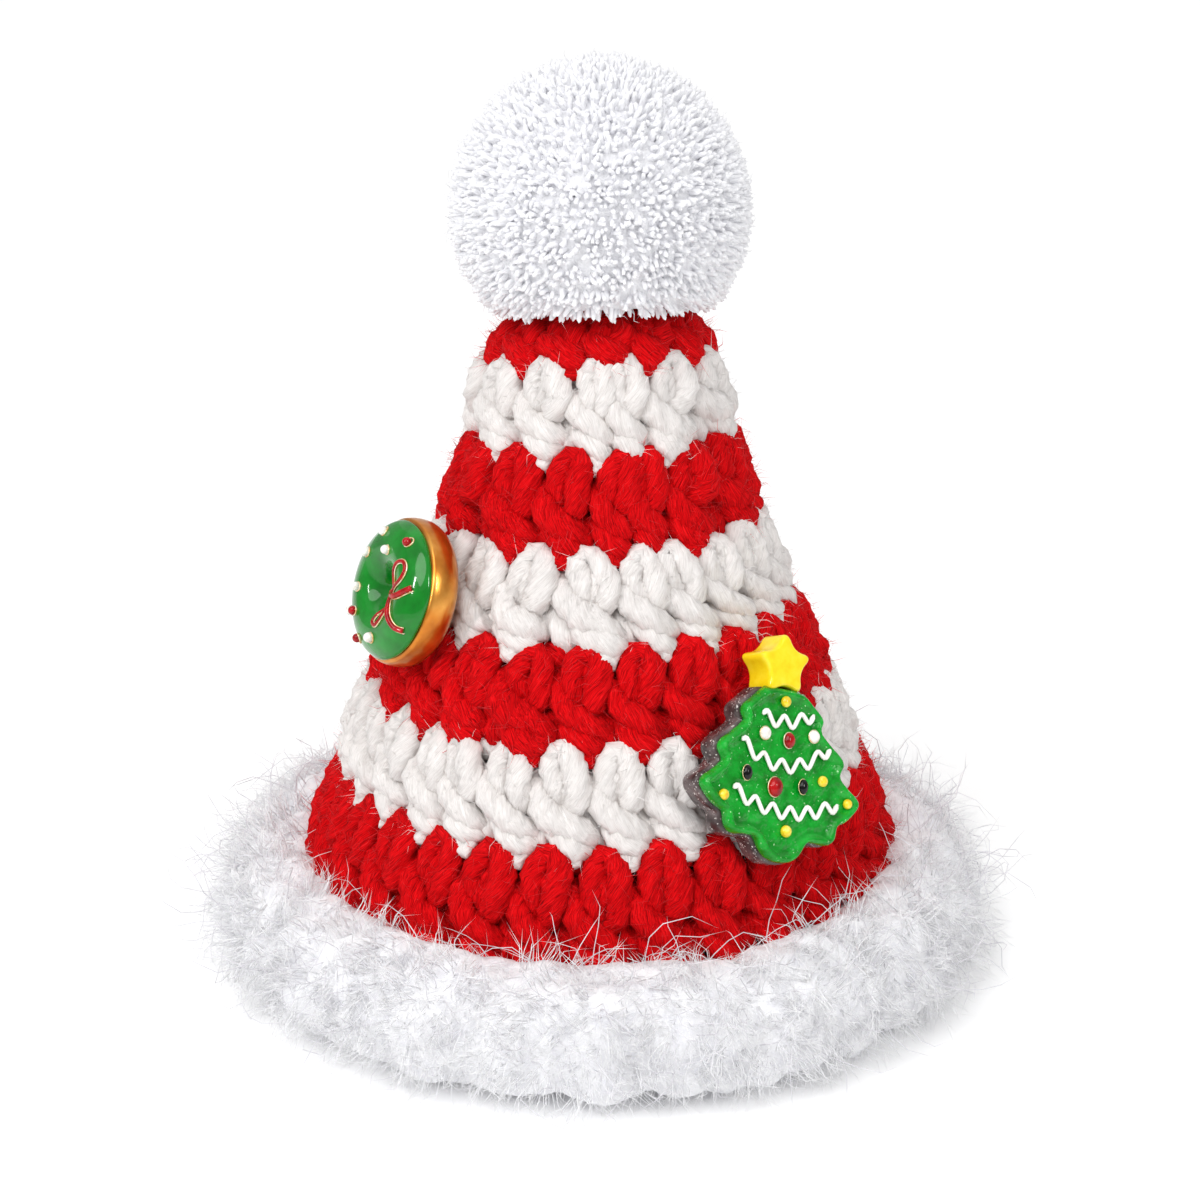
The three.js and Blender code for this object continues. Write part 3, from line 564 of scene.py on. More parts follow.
def smooth_line(points, count, closed):
    """Even steps along a smooth line through points."""
    points = np.asarray(points, float)
    spans = len(points) if closed else len(points) - 1
    place = np.linspace(0, spans, count, endpoint=not closed)
    first = np.minimum(place.astype(int), spans - 1)
    part = (place - first)[:, None]
    picks = [first + step for step in (-1, 0, 1, 2)]
    if closed:
        before, here, there, after = [points[pick % len(points)] for pick in picks]
    else:
        before, here, there, after = [points[np.clip(pick, 0, spans)] for pick in picks]
    return 0.5 * (2 * here + (there - before) * part
                  + (2 * before - 5 * here + 4 * there - after) * part ** 2
                  + (3 * here - before - 3 * there + after) * part ** 3)


def turned_ring(section, around):
    """Corners and faces of a closed section of radius and height, turned about Z."""
    turn = full_turn(around)
    radius, height = section.T
    corners = np.stack([np.outer(np.cos(turn), radius), np.outer(np.sin(turn), radius),
                        np.tile(height, (around, 1))], -1).reshape(-1, 3)
    along = len(section)
    faces = []
    for i in range(around):
        for j in range(along):
            here, there = i * along, (i + 1) % around * along
            step = (j + 1) % along
            faces.append((here + j, there + j, there + step, here + step))
    return corners, faces


def shell(name, corners, faces, material):
    """A smooth piece of corners in mm and faces, linked to the scene."""
    mesh = bpy.data.meshes.new(name)
    mesh.from_pydata([tuple(c) for c in np.asarray(corners) * MM], [], faces)
    mesh.shade_smooth()
    mesh.materials.append(material)
    piece = bpy.data.objects.new(name, mesh)
    bpy.context.scene.collection.objects.link(piece)
    return piece


def clouded(name, stops, cloud, grain, bump, finish):
    """A material of cloudy colour with a fine relief, on the object's own coordinates."""
    material, tree, shader = new_material(name)
    place = add(tree, "ShaderNodeTexCoord").outputs["Object"]
    clouds = add(tree, "ShaderNodeTexNoise", {"Vector": place, **cloud})
    tint = add(tree, "ShaderNodeValToRGB", {"Fac": clouds}, stops)
    waves = add(tree, "ShaderNodeTexNoise", {"Vector": place, **grain})
    relief = add(tree, "ShaderNodeBump", {"Height": waves, **bump})
    feed(tree, shader, {"Base Color": tint, "Normal": relief, "Coat Normal": relief, **finish})
    return material, tree, shader, place, tint


# Strands in the pile's relief, in mm
PILE_STRAND = 0.35


def brushed_pile(name, deep, body, bright, cloud, depth, rough):
    """Fluffy acrylic pile: white, soft, a little shiny, shaded lock by lock. cloud and depth are in mm."""
    return clouded(
        name, [(0.3, deep), (0.48, body), (0.68, bright)],
        {"Scale": 1 / (cloud * MM), "Detail": 2.0, "Roughness": 0.6},
        {"Scale": 1 / (PILE_STRAND * MM), "Detail": 3.0, "Distortion": 1.5},
        {"Strength": 0.6, "Distance": depth * MM},
        {"Roughness": rough, "Specular IOR Level": 0.35, "Sheen Weight": 0.3, "Sheen Roughness": 0.4})[0]


def above_floor(heights):
    """Heights in mm, with whatever comes near the floor pressed flat on it."""
    over = heights / FLOOR_SOFT - FLOOR_CLEAR / FLOOR_SOFT - 1
    pressed = FLOOR_CLEAR + FLOOR_SOFT * np.exp(np.minimum(over, 0))
    return np.where(heights > FLOOR_CLEAR + FLOOR_SOFT, heights, pressed)


# The matt core looks thick and full, and is a little greyer than the pile: painted shade from deep in the
# fur. The pile is white and downy, and the long hairs silky and greyer: painted shade on thin hairs.
brim_felt_shaded = brushed_pile("brim core felt with painted shade", "#EFEFF4", "#F5F5F8", "#FAFAFC", 2.0, 0.5, 0.9)
brim_fur = brushed_pile("eyelash yarn pile", "#F9F9FC", "#FCFCFE", "#FFFFFF", 1.2, 0.15, 0.6)
brim_lash = brushed_pile("eyelash yarn hair with painted shade", "#D6D4DA", "#E4E2E8", "#F2F0F4", 3.0, 0.1, 0.4)

corners, faces = turned_ring(smooth_line(BRIM_SECTION, BRIM["along"], closed=True), BRIM["around"])
brim = shell("brim_core", corners, faces, brim_felt_shaded)
corners, normals = corners_and_normals(brim.data)
corners = corners / MM
around = np.linalg.norm(corners[:, :2], axis=1)
for k, (corner, normal) in enumerate(zip(corners, normals)):
    lump = min(noise.voronoi(Vector(corner / BRIM_LUMPS["width"]))[0][0], 1.0)
    swell = BRIM_LUMPS["depth"] * (BRIM_LUMPS["middle"] - lump ** 2)
    swell += BRIM_LUMPS["fine_depth"] * noise.noise(Vector(corner / BRIM_LUMPS["fine_width"]))
    fade = np.clip((around[k] - LUMP_FADE["from"]) / LUMP_FADE["over"], LUMP_FADE["least"], 1.0)
    corners[k] = corner + normal * swell * fade
corners[:, 2] = above_floor(corners[:, 2])
brim.data.vertices.foreach_set("co", (corners * MM).ravel())
brim.data.update()
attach(brim, BODY)
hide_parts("brim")

# The pile: small tufts of eight bent hairs, thickest outside and on top, thin on the underside.
# The lashes: single long hairs, thinly spread. Lengths are in mm.
PILE = {"per_mm2": 1.2, "spacing": 1.1, "lean": 1.1, "hang": (0, 0, -0.5), "shortest": 2.8,
        "longest": 5.4, "thick": 0.0095, "apart": 0.18}
LASH = {"per_mm2": 0.5, "spacing": 0.7, "lean": 0.8, "hang": (0, 0, -0.1), "shortest": 3.6,
        "longest": 9.5, "thick": 0.0075, "lowest": 4}
# How thickly the pile grows, and how long: inside the hat, underneath, on the inner slope, elsewhere
PILE_GROW = (0.1, 0.5, 0.75, 1.0)
PILE_STRETCH = (0.45, 0.45, 0.5, 1.2)
# How thickly the lashes grow: everywhere, more where the brim faces up, and most where it faces out
LASH_GROW = {"all": 0.25, "up": 0.3, "out": 0.5, "least": 0.1}
pile_rng = np.random.default_rng(31)


def tuft(rng):
    """Eight hairs from roots close together, one millimetre high."""
    hairs = []
    for k in range(8):
        reach = MM * rng.uniform(0.6, 1.0)
        bend = rng.uniform(0.15, 0.75)
        corners, faces = hair(rng, reach, bend, PILE["thick"] * MM, steps=2, curl=0.2)
        root = np.append(rng.uniform(-PILE["apart"], PILE["apart"], 2), 0)
        hairs.append((corners + root * MM, faces))
    return joined(hairs)


corners, normals = corners_and_normals(brim.data)
around = np.linalg.norm(corners[:, :2], axis=1)
outward = (normals[:, :2] * corners[:, :2]).sum(1) / around
inside = around < BRIM["inside"] * MM
under = normals[:, 2] < BRIM["under"]
zones = [inside, under, outward < 0]
pile_grow = np.select(zones, PILE_GROW[:3], PILE_GROW[3])
pile_stretch = np.select(zones, PILE_STRETCH[:3], PILE_STRETCH[3])
lash_grow = LASH_GROW["all"] + LASH_GROW["up"] * normals[:, 2] + LASH_GROW["out"] * outward
lash_grow = np.where(inside | under, 0.0, np.clip(lash_grow, LASH_GROW["least"], 1.0))
lash_grow[corners[:, 2] < LASH["lowest"] * MM] = 0
tufts = sprig_collection("brim_tuft", [tuft(pile_rng) for k in range(8)])
lashes = sprig_collection("brim_lash", [
    hair(pile_rng, MM, pile_rng.uniform(0.3, 1.0), LASH["thick"] * MM, steps=5, curl=0.2)
    for k in range(8)])
for name, sprigs, sizes, grow, stretch, finish, seed in (
        ("brim_pile", tufts, PILE, pile_grow, pile_stretch, brim_fur, 41),
        ("brim_lashes", lashes, LASH, lash_grow, np.ones(len(around)), brim_lash, 42)):
    ground = brim.data.copy()
    set_growth(ground, grow, stretch)
    piece = scattered(name, ground, sprigs, sizes, seed, finish)
    tips = corners_and_normals(piece.data)[0]
    tips[:, 2] = above_floor(tips[:, 2] / MM) * MM
    piece.data.vertices.foreach_set("co", tips.ravel())
    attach(piece, BODY)

# Pompom
# A ball of white acrylic yarn, wound, tied in the middle and clipped, so that short cut ends stand
# out all round. It is tied down on the closed top, which presses it flat underneath.
POMPOM = {"centre": (0.0, 2.0, 84.6), "root": 13.4, "core": 15.0, "sunk": 1.0, "reach": 16.3, "rest": 73.6}
ENDS = {"per_mm2": 40.0, "spacing": 0.42, "lean": 0.45, "shortest": 0.9, "longest": 1.1, "thick": 0.36,
        "least_reach": 0.3, "uneven": 0.05, "waves": 3.1}
FRAY = {"per_mm2": 0.5, "spacing": 0.8, "lean": 0.9, "shortest": 1.2, "longest": 2.6, "thick": 0.016,
        "root": 15.2, "near": 0.5}
# The cut ends look soft and white, and the tangle between them matt and a little darker: painted shade
# between the ends.
pompom_yarn = brushed_pile("clipped white acrylic", "#EDEDF0", "#F1F1F4", "#F6F6F8", 0.7, 0.1, 0.8)
matted_shaded_yarn = brushed_pile("matted white acrylic with painted shade", "#ECECEF", "#F0F0F3", "#F5F5F7", 0.7, 0.5, 0.9)


def stacked(rows, lowest, highest):
    """Corners and faces of closed outlines one above another, each end closed to a point."""
    around = len(rows[0])
    corners = np.concatenate([[lowest], *rows, [highest]])
    top = len(corners) - 1
    faces = [(0, 1 + (k + 1) % around, 1 + k) for k in range(around)]
    for row in range(len(rows) - 1):
        faces += band(1 + row * around, 1 + (row + 1) * around, around)
    high = top - around
    return corners, faces + [(high + k, high + (k + 1) % around, top) for k in range(around)]


def turned(section, around):
    """Corners and faces of a section of radius and height that starts and ends on its axis."""
    turn = full_turn(around)
    rows = [np.stack([r * np.cos(turn), r * np.sin(turn), np.full(around, h)], -1) for r, h in section[1:-1]]
    return stacked(rows, (0, 0, section[0][1]), (0, 0, section[-1][1]))


def ball(radius, rings, around):
    """Corners and faces of a ball about the origin."""
    rises = np.linspace(math.pi, 0, rings + 1)[1:-1]
    corners, faces = turned([(0, -1), *[(math.sin(r), math.cos(r)) for r in rises], (0, 1)], around)
    return corners * radius, faces


def pompom_reach(ways):
    """How far the pompom stands out each way: the closed top under it stops the lower ends."""
    side, lean = math.sin(math.radians(EDGES[0][3])), math.sin(math.radians(EDGES[0][2]))
    fall = np.maximum(-(ways[:, 2] - ways[:, 0] * side + ways[:, 1] * lean), 1e-6)
    return np.minimum(POMPOM["reach"], (POMPOM["centre"][2] - POMPOM["rest"]) / fall)


ways, ball_faces = ball(1.0, rings=40, around=64)
reach = pompom_reach(ways)
heart_radius = np.minimum(POMPOM["core"], reach - POMPOM["sunk"])
heart = shell("pompom_core", ways * heart_radius[:, None] + POMPOM["centre"], ball_faces, matted_shaded_yarn)
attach(heart, BODY)
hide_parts("pompom")


def yarn_end(rng):
    """One cut end of yarn, one millimetre high: fluffed out, a little bent, and drawn in at its tip."""
    part = np.array([0, 0.62, 0.9, 1.0])
    way = rng.uniform(0, math.tau)
    bend = rng.uniform(0.02, 0.16)
    points = np.stack([bend * math.cos(way) * part ** 2, bend * math.sin(way) * part ** 2, part], -1)
    full = POMPOM["reach"] - POMPOM["root"]
    girth = np.array([0.9, 1.0, 0.72]) * ENDS["thick"] / full * rng.uniform(0.8, 1.1)
    return spike(points * MM, girth * MM, sides=4)


def pompom_ground(name, radius, grows, stretch):
    """A ball that the scatter sets yarn on, and that is not part of the hat itself."""
    mesh = bpy.data.meshes.new(name)
    mesh.from_pydata([tuple(c) for c in (ways * radius + POMPOM["centre"]) * MM], [], ball_faces)
    set_growth(mesh, np.where(grows, 1.0, 0.0), stretch)
    return mesh


ends_rng = np.random.default_rng(51)
ends = sprig_collection("yarn_end", [yarn_end(ends_rng) for k in range(10)])
uneven = np.array([noise.noise(Vector(way * ENDS["waves"])) for way in ways])
ground = pompom_ground("pompom_ground", POMPOM["root"], reach > POMPOM["root"] + ENDS["least_reach"],
                       (reach - POMPOM["root"]) * (1 + ENDS["uneven"] * uneven))
pompom = scattered("pompom_ends", ground, ends, ENDS, 52, pompom_yarn)
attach(pompom, BODY)

# Single fibres that have come loose from the cut ends
frays = sprig_collection("yarn_fray", [
    hair(ends_rng, MM, ends_rng.uniform(0.4, 1.0), FRAY["thick"] * MM, steps=4, curl=0.3)
    for k in range(8)])
ground = pompom_ground("pompom_surface", FRAY["root"], reach > POMPOM["reach"] - FRAY["near"],
                       np.ones(len(ways)))
fray = scattered("pompom_fray", ground, frays, FRAY, 53, pompom_yarn)
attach(fray, BODY)

# Doughnut charm
# A cast resin cabochon glued to the crown's left side: a gold-painted bun, glossy green icing with
# a dimple, a small bow of red enamel edged in gold, and nine round sprinkles.
DONUT_SEAT = {"angle": -60.2, "z": 45.5, "radius": 21.6, "tilt": 19.1, "turn": 0.0}
DONUT_AROUND = 72
BUN_SECTION = [(0, 0), (3.5, 0), (6.5, 0), (7.3, 0.35), (7.85, 1.2), (8.0, 2.2), (7.9, 3.1), (7.6, 3.6),
               (6.4, 3.6), (3.0, 2.4), (0, 2.2)]


def seat_matrix(seat):
    """Where a charm sits: flat on the slope of the crown, X to its right, Y up and Z out of the wool."""
    return (Matrix.Rotation(math.radians(seat["angle"]), 4, "Z")
            @ Matrix.Translation((0, -seat["radius"], seat["z"]))
            @ Matrix.Rotation(math.radians(90 - seat["tilt"]), 4, "X")
            @ Matrix.Rotation(math.radians(seat["turn"]), 4, "Z"))


def charm(name, seat, shape, material):
    """A piece of a charm, from corners in mm about its seat and faces, in its place on the crown."""
    corners, faces = shape
    place = np.array(seat_matrix(seat))
    return shell(name, np.asarray(corners, float) @ place[:3, :3].T + place[:3, 3], faces, material)


def cast_gloss(name, deep, body, bright, cloud, ripple, depth, rough, coat, metal=0.0):
    """Painted or tinted cast resin: a cloudy colour under a clear wet-looking coat with faint ripples.

    cloud, ripple and depth are the widths of both and the depth of the ripples, in mm."""
    return clouded(
        name, [(0.32, deep), (0.5, body), (0.7, bright)],
        {"Scale": 1 / (cloud * MM), "Detail": 3.0, "Roughness": 0.55},
        {"Scale": 1 / (ripple * MM), "Detail": 1.0}, {"Strength": 0.5, "Distance": depth * MM},
        {"Roughness": rough, "Metallic": metal, "Coat Weight": coat, "Coat Roughness": 0.04,
         "Specular IOR Level": 0.12})[0]


# The gold paint gives a warm soft mirror, the icing and the enamels a wet shine over a deep colour,
# and the pale edging a thin bright line.
gold_paint = cast_gloss(
    "gold metallic paint", "#B4641E", "#D2802A", "#E8A64C", 4.0, 0.25, 0.02, 0.28, 0.3, 0.85)
green_icing = cast_gloss("green enamel icing", "#026A16", "#047A1C", "#088A24", 3.0, 3.0, 0.1, 0.15, 0.7)
red_enamel = cast_gloss("red enamel", "#7C0206", "#A2040C", "#BC0A12", 1.0, 0.8, 0.03, 0.15, 0.5)
white_enamel = cast_gloss("pearl white enamel", "#DEDAD0", "#F2EFE8", "#FCFBF8", 0.8, 0.6, 0.03, 0.15, 0.8)
gold_edge = cast_gloss("pale gold edging", "#D8A860", "#F0D8A8", "#FBF0DC", 0.6, 0.4, 0.02, 0.25, 0.4, 0.5)

bun_line = smooth_line(BUN_SECTION, count=36, closed=False)
bun = charm("donut_bun", DONUT_SEAT, turned(bun_line, DONUT_AROUND), gold_paint)
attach(bun, BODY)
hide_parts("donut_base")

# The icing's lower edge runs a little up and down, as poured icing does. Its waves have a depth in
# mm, a number and a start.
ICING_FOOT = 3.75
ICING_BED = [(0, -1.5), (3.0, -1.2), (6.4, 0.0)]
ICING_TOP = [(0, -1.3), (0.9, -1.15), (1.55, -0.3), (2.2, 0.9), (3.2, 1.75), (4.5, 2.05), (5.9, 1.75),
             (7.0, 1.0), (7.5, 0.35), (7.45, 0)]
ICING_EDGE = {"from": 6.6, "over": 0.9, "drop": 0.08, "waves": [(0.1, 3, 0.6), (0.06, 7, 0.0)]}
icing_line = smooth_line(ICING_TOP, count=30, closed=False)
corners, faces = turned(np.concatenate([ICING_BED, icing_line[::-1]]), DONUT_AROUND)
turn = np.arctan2(corners[:, 1], corners[:, 0])
outer = np.clip((np.hypot(corners[:, 0], corners[:, 1]) - ICING_EDGE["from"]) / ICING_EDGE["over"], 0, 1)
low = outer * np.clip(1 - corners[:, 2] / ICING_EDGE["over"], 0, 1)
drop = ICING_EDGE["drop"]
for depth, count, begin in ICING_EDGE["waves"]:
    drop = drop + depth * np.sin(count * turn + begin)
corners[:, 2] += ICING_FOOT - low * drop
icing = charm("donut_icing_gloss", DONUT_SEAT, (corners, faces), green_icing)
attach(icing, BODY)
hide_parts("donut_icing")


def on_icing(x, y, lift):
    """A point on the icing of the doughnut, lifted off it, in mm."""
    rise = np.interp(np.hypot(x, y), icing_line[:, 0], icing_line[:, 1])
    return np.stack([x, y, ICING_FOOT + rise + lift], -1)


# The bow lies on the icing: two loops and two tails of enamel from one knot, each with a gold edge.
# Paths and radii are in mm, and edge is how far the gold lies from the middle of the ribbon.
BOW = [
    {"path": [(2.6, 0.2), (2.5, 1.6), (2.35, 2.6), (2.85, 3.6), (3.75, 3.95), (4.45, 3.35), (4.35, 2.2),
              (3.45, 1.1), (2.7, 0.3)], "radius": 0.2, "edge": 0.2},
    {"path": [(2.6, 0.2), (1.9, -1.3), (1.05, -2.6), (1.1, -3.55), (1.95, -3.6), (2.5, -2.4),
              (2.65, -1.2), (2.65, 0.1)], "radius": 0.2, "edge": 0.2},
    {"path": [(2.6, 0.2), (3.7, 0.15), (4.8, 0.6), (6.2, 1.85)], "radius": 0.32, "edge": 0.3},
    {"path": [(2.6, 0.2), (3.35, -1.0), (4.25, -2.05), (5.4, -2.75), (6.35, -2.75)],
     "radius": 0.3, "edge": 0.28},
]
BOW_RIBBON = {"lift": 0.8, "sides": 8, "steps": 8}
BOW_EDGE = {"lift": 0.09, "radius": 0.085, "sides": 6}
KNOT = {"x": 2.6, "y": 0.2, "radius": 0.5, "shape": [0.85, 1.1, 0.7], "lift": 0.25}
ribbons, edgings = [], []
for strand in BOW:
    x, y = smooth_line(strand["path"], BOW_RIBBON["steps"] * len(strand["path"]), closed=False).T
    middle = on_icing(x, y, BOW_RIBBON["lift"] * strand["radius"])
    ribbons.append(tube(middle, strand["radius"], BOW_RIBBON["sides"]))
    across = unit(np.stack([-np.gradient(y), np.gradient(x)], -1))
    for side in (-1, 1):
        edge_x = x + side * strand["edge"] * across[:, 0]
        edge_y = y + side * strand["edge"] * across[:, 1]
        edge = on_icing(edge_x, edge_y, BOW_EDGE["lift"])
        edgings.append(tube(edge, BOW_EDGE["radius"], BOW_EDGE["sides"]))
knot, knot_faces = ball(KNOT["radius"], rings=10, around=16)
knot = knot * KNOT["shape"] + on_icing(np.array(KNOT["x"]), np.array(KNOT["y"]), KNOT["lift"])
bow = charm("donut_bow_enamel", DONUT_SEAT, joined([*ribbons, (knot, knot_faces)]), red_enamel)
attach(bow, BODY)
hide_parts("donut_bow")
edging = charm("donut_bow_edging", DONUT_SEAT, joined(edgings), gold_edge)
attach(edging, BODY)

# Sprinkles: place and radius in mm. Each is a drop of enamel in a thin gold cup.
SPRINKLES = [
    (-2.5, 5.6, 0.5, "white"), (2.7, 5.9, 0.5, "red"), (-4.2, 2.7, 0.55, "white"),
    (-0.2, 4.1, 0.5, "white"), (-4.1, -1.2, 0.5, "white"), (-3.4, -3.7, 0.5, "red"),
    (-5.0, -4.1, 0.5, "white"), (1.4, -5.2, 0.55, "white"), (-2.1, -6.3, 0.5, "red"),
]
SPRINKLE_LIFT = 0.55
DROP_RINGS, DROP_AROUND = 12, 18
CUP = {"size": 0.95, "lift": 0.06, "thick": 0.1, "sides": 6}
drop_finish = {"white": white_enamel, "red": red_enamel}
cups = []
for number, (x, y, radius, colour) in enumerate(SPRINKLES, 1):
    corners, faces = ball(radius, DROP_RINGS, DROP_AROUND)
    corners = corners + on_icing(np.array(x), np.array(y), SPRINKLE_LIFT * radius)
    drop = charm(f"donut_sprinkle_{number}_drop", DONUT_SEAT, (corners, faces), drop_finish[colour])
    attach(drop, BODY)
    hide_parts(f"donut_sprinkle_{number}")
    turn = full_turn(DROP_AROUND)
    cup_x = x + CUP["size"] * radius * np.cos(turn)
    cup_y = y + CUP["size"] * radius * np.sin(turn)
    cups.append(tube(on_icing(cup_x, cup_y, CUP["lift"]), CUP["thick"], CUP["sides"], closed=True))
cup_rings = charm("donut_sprinkle_cups", DONUT_SEAT, joined(cups), gold_edge)
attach(cup_rings, BODY)

# Tree charm
# A cast resin tree glued to the crown's right side: a grey glitter body, a green glitter face with a
# raised rim, a yellow star, three lines of white piping and eleven drops of enamel.
TREE_SEAT = {"angle": 36.7, "z": 29.6, "radius": 28.2, "tilt": 20.6, "turn": -17.0}
# Half of the outline in mm, from the neck under the star to the foot: each point with the bend before it
TREE_NECK = (2.3, 9.1)
TREE_HALF = [
    ((3.6, 7.9), (4.8, 7.0)), ((5.6, 6.2), (4.7, 5.3)), ((5.8, 4.2), (7.6, 3.0)), ((8.6, 2.0), (7.3, 0.9)),
    ((8.4, -0.2), (9.6, -0.9)), ((10.8, -1.8), (9.4, -3.0)), ((8.4, -4.2), (7.1, -4.4)),
    ((7.4, -6.5), (5.7, -6.6)), ((4.4, -6.4), (3.1, -6.6)), ((2.4, -9.0), (0.0, -9.0)),
]
TREE_SKEW = 0.07
TREE_MIDDLE = np.array([0.0, -1.2])


def tree_outline(steps):
    """The tree's outline, turning to the left, with even steps in each curve."""
    part = np.arange(1, steps + 1)[:, None] / steps
    here = np.array(TREE_NECK)
    right = [here[None]]
    for bend, there in TREE_HALF:
        bend, there = np.array(bend), np.array(there)
        right.append((1 - part) ** 2 * here + 2 * part * (1 - part) * bend + part ** 2 * there)
        here = there
    right = np.concatenate(right)
    left = right[-2::-1] * [-1, 1]
    line = np.concatenate([right, left])[::-1]
    line[:, 1] -= TREE_SKEW * line[:, 0]
    return line


def moved_in(line, by, passes):
    """A closed outline moved inwards by so many mm, and evened a few times."""
    along = unit(np.roll(line, -1, 0) - np.roll(line, 1, 0))
    line = line + by * np.stack([-along[:, 1], along[:, 0]], -1)
    for k in range(passes):
        line = 0.5 * line + 0.25 * (np.roll(line, 1, 0) + np.roll(line, -1, 0))
    return line


def at_height(line, height):
    """An outline in space, at one height or at a height for each point."""
    return np.column_stack([line, np.broadcast_to(height, len(line))])


# Clouds and flakes of the glitter in mm. The flakes are drawn a little larger than real ones.
GLITTER = {"cloud": 1.8, "flake": 0.14}


def glitter_resin(name, deep, body, bright, glint_speck, share, ripple, depth, rough):
    """Clear-coated resin with glitter cast in it: a wet, deep colour with bright specks, which are painted
    glints of the glitter flakes.

    share is how many flakes get a painted glint, and ripple and depth are in mm."""
    material, tree, shader, place, tint = clouded(
        name, [(0.34, deep), (0.5, body), (0.68, bright)],
        {"Scale": 1 / (GLITTER["cloud"] * MM), "Detail": 3.0, "Roughness": 0.6},
        {"Scale": 1 / (ripple * MM), "Detail": 2.0}, {"Strength": 0.7, "Distance": depth * MM},
        {"Roughness": rough, "Coat Weight": 0.45, "Coat Roughness": 0.05, "Specular IOR Level": 0.12})
    # Painted glints: a few glitter flakes are mixed into the colour as bright specks.
    flakes = add(tree, "ShaderNodeTexVoronoi", {"Vector": place, "Scale": 1 / (GLITTER["flake"] * MM)})
    chance = add(tree, "ShaderNodeSeparateColor", {"Color": flakes.outputs["Color"]})
    glint_mask = add(tree, "ShaderNodeMapRange", {
        "Value": chance, "From Min": 1 - share, "From Max": 1.0, "To Min": 0.0, "To Max": 1.0})
    mixed = add(tree, "ShaderNodeMix", {0: glint_mask, 6: tint, 7: linear(glint_speck)}, data_type="RGBA")
    feed(tree, shader, {"Base Color": mixed.outputs[2]})
    return material


# The body glints like dark sugar and the face like wet green glass, partly through painted glints in the
# glitter. The star is a plain bright yellow, the piping a soft white, and the drops shine like wet paint.
grey_resin = glitter_resin(
    "grey glitter resin", "#382E2E", "#564A4A", "#766A6A", "#E4DCD6", 0.06, 1.2, 0.04, 0.25)
green_resin = glitter_resin(
    "green glitter resin", "#047C18", "#089424", "#14AA32", "#A8E0A0", 0.012, 0.7, 0.3, 0.15)
yellow_resin = cast_gloss("yellow resin", "#F2CE12", "#F8DA1C", "#FCE232", 1.4, 0.9, 0.02, 0.25, 0.6)
white_piping = cast_gloss("white piping enamel", "#ECEAE2", "#F8F6F0", "#FFFFFF", 0.9, 0.5, 0.03, 0.25, 0.5)
yellow_enamel = cast_gloss("yellow enamel", "#E0B410", "#F2D422", "#F8E870", 0.6, 0.5, 0.02, 0.15, 1.0)
black_enamel = cast_gloss("black enamel", "#020203", "#040405", "#0A0A0C", 0.8, 0.6, 0.02, 0.15, 0.5)

# Steps of the body from its back to its front: how far each is moved in, how often it is evened, and
# its height. The body stands a little wider than the face.
TREE_BODY_DEPTH = 2.6
BODY_WIDER = 0.18
BODY_STEPS = [(0.35, 1, 0.0), (0.1, 1, 0.12), (0, 0, 0.4), (0, 0, 1.4), (0, 0, 2.3), (0.12, 1, 2.55),
              (0.4, 1, TREE_BODY_DEPTH)]
outline = tree_outline(steps=8)
wide = moved_in(outline, -BODY_WIDER, 1)
rows = [at_height(moved_in(wide, by, passes), height) for by, passes, height in BODY_STEPS]
shape = stacked(rows, (*TREE_MIDDLE, 0.0), (*TREE_MIDDLE, TREE_BODY_DEPTH))
body = charm("tree_body", TREE_SEAT, shape, grey_resin)
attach(body, BODY)
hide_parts("tree_base")

# The face: a rounded rim, in steps as above, that stands above a wavy field
FACE_BACK = 2.62
FACE_STEPS = [(0.35, 1, FACE_BACK), (0.06, 1, 2.78), (0, 0, 3.1), (0.05, 1, 3.7), (0.22, 2, 4.05),
              (0.45, 2, 4.2), (0.75, 3, 4.0)]
FIELD = {"inset": 1.15, "passes": 4, "height": 3.62, "edge": 0.15, "rings": 14}
FIELD_WAVES = {"swell": 0.2, "width": 1.5, "slice": 0.5}
field = moved_in(outline, FIELD["inset"], FIELD["passes"])
rows = [at_height(moved_in(outline, by, passes), height) for by, passes, height in FACE_STEPS]
rows.append(at_height(field, FIELD["height"] - FIELD["edge"]))
for part in np.linspace(1, 0, FIELD["rings"] + 1)[1:-1]:
    line = TREE_MIDDLE + (field - TREE_MIDDLE) * part
    swell = [noise.noise(Vector((x, y, FIELD_WAVES["slice"])) / FIELD_WAVES["width"]) for x, y in line]
    rows.append(at_height(line, FIELD["height"] + FIELD_WAVES["swell"] * np.array(swell)))
shape = stacked(rows, (*TREE_MIDDLE, FACE_BACK), (*TREE_MIDDLE, FIELD["height"]))
face = charm("tree_face_gloss", TREE_SEAT, shape, green_resin)
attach(face, BODY)
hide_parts("tree_face")

# The star: five blunt points, a full thick body and a broad bevel, given as size and height in mm
STAR = {"y": 11.5, "outer": 3.75, "inner": 1.95, "foot": 0.05, "top": 3.95, "cuts": 3}
STAR_SHAPE = [(0.94, 0.05), (0.985, 0.15), (1.0, 0.35), (1.0, 3.2), (1.0, 3.4), (0.98, 3.65), (0.93, 3.85),
              (0.88, 3.92), (0.85, 3.93), (0.4, 3.95)]
turn = math.pi / 2 + np.arange(10) * math.pi / 5
reach = np.where(np.arange(10) % 2 == 0, STAR["outer"], STAR["inner"])
star_line = np.stack([reach * np.cos(turn), reach * np.sin(turn)], -1)
for cut in range(STAR["cuts"]):
    after = np.roll(star_line, -1, 0)
    pairs = [0.75 * star_line + 0.25 * after, 0.25 * star_line + 0.75 * after]
    star_line = np.stack(pairs, 1).reshape(-1, 2)
rows = [at_height([0, STAR["y"]] + size * star_line, height) for size, height in STAR_SHAPE]
shape = stacked(rows, (0, STAR["y"], STAR["foot"]), (0, STAR["y"], STAR["top"]))
star = charm("tree_star_resin", TREE_SEAT, shape, yellow_resin)
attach(star, BODY)
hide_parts("tree_star")

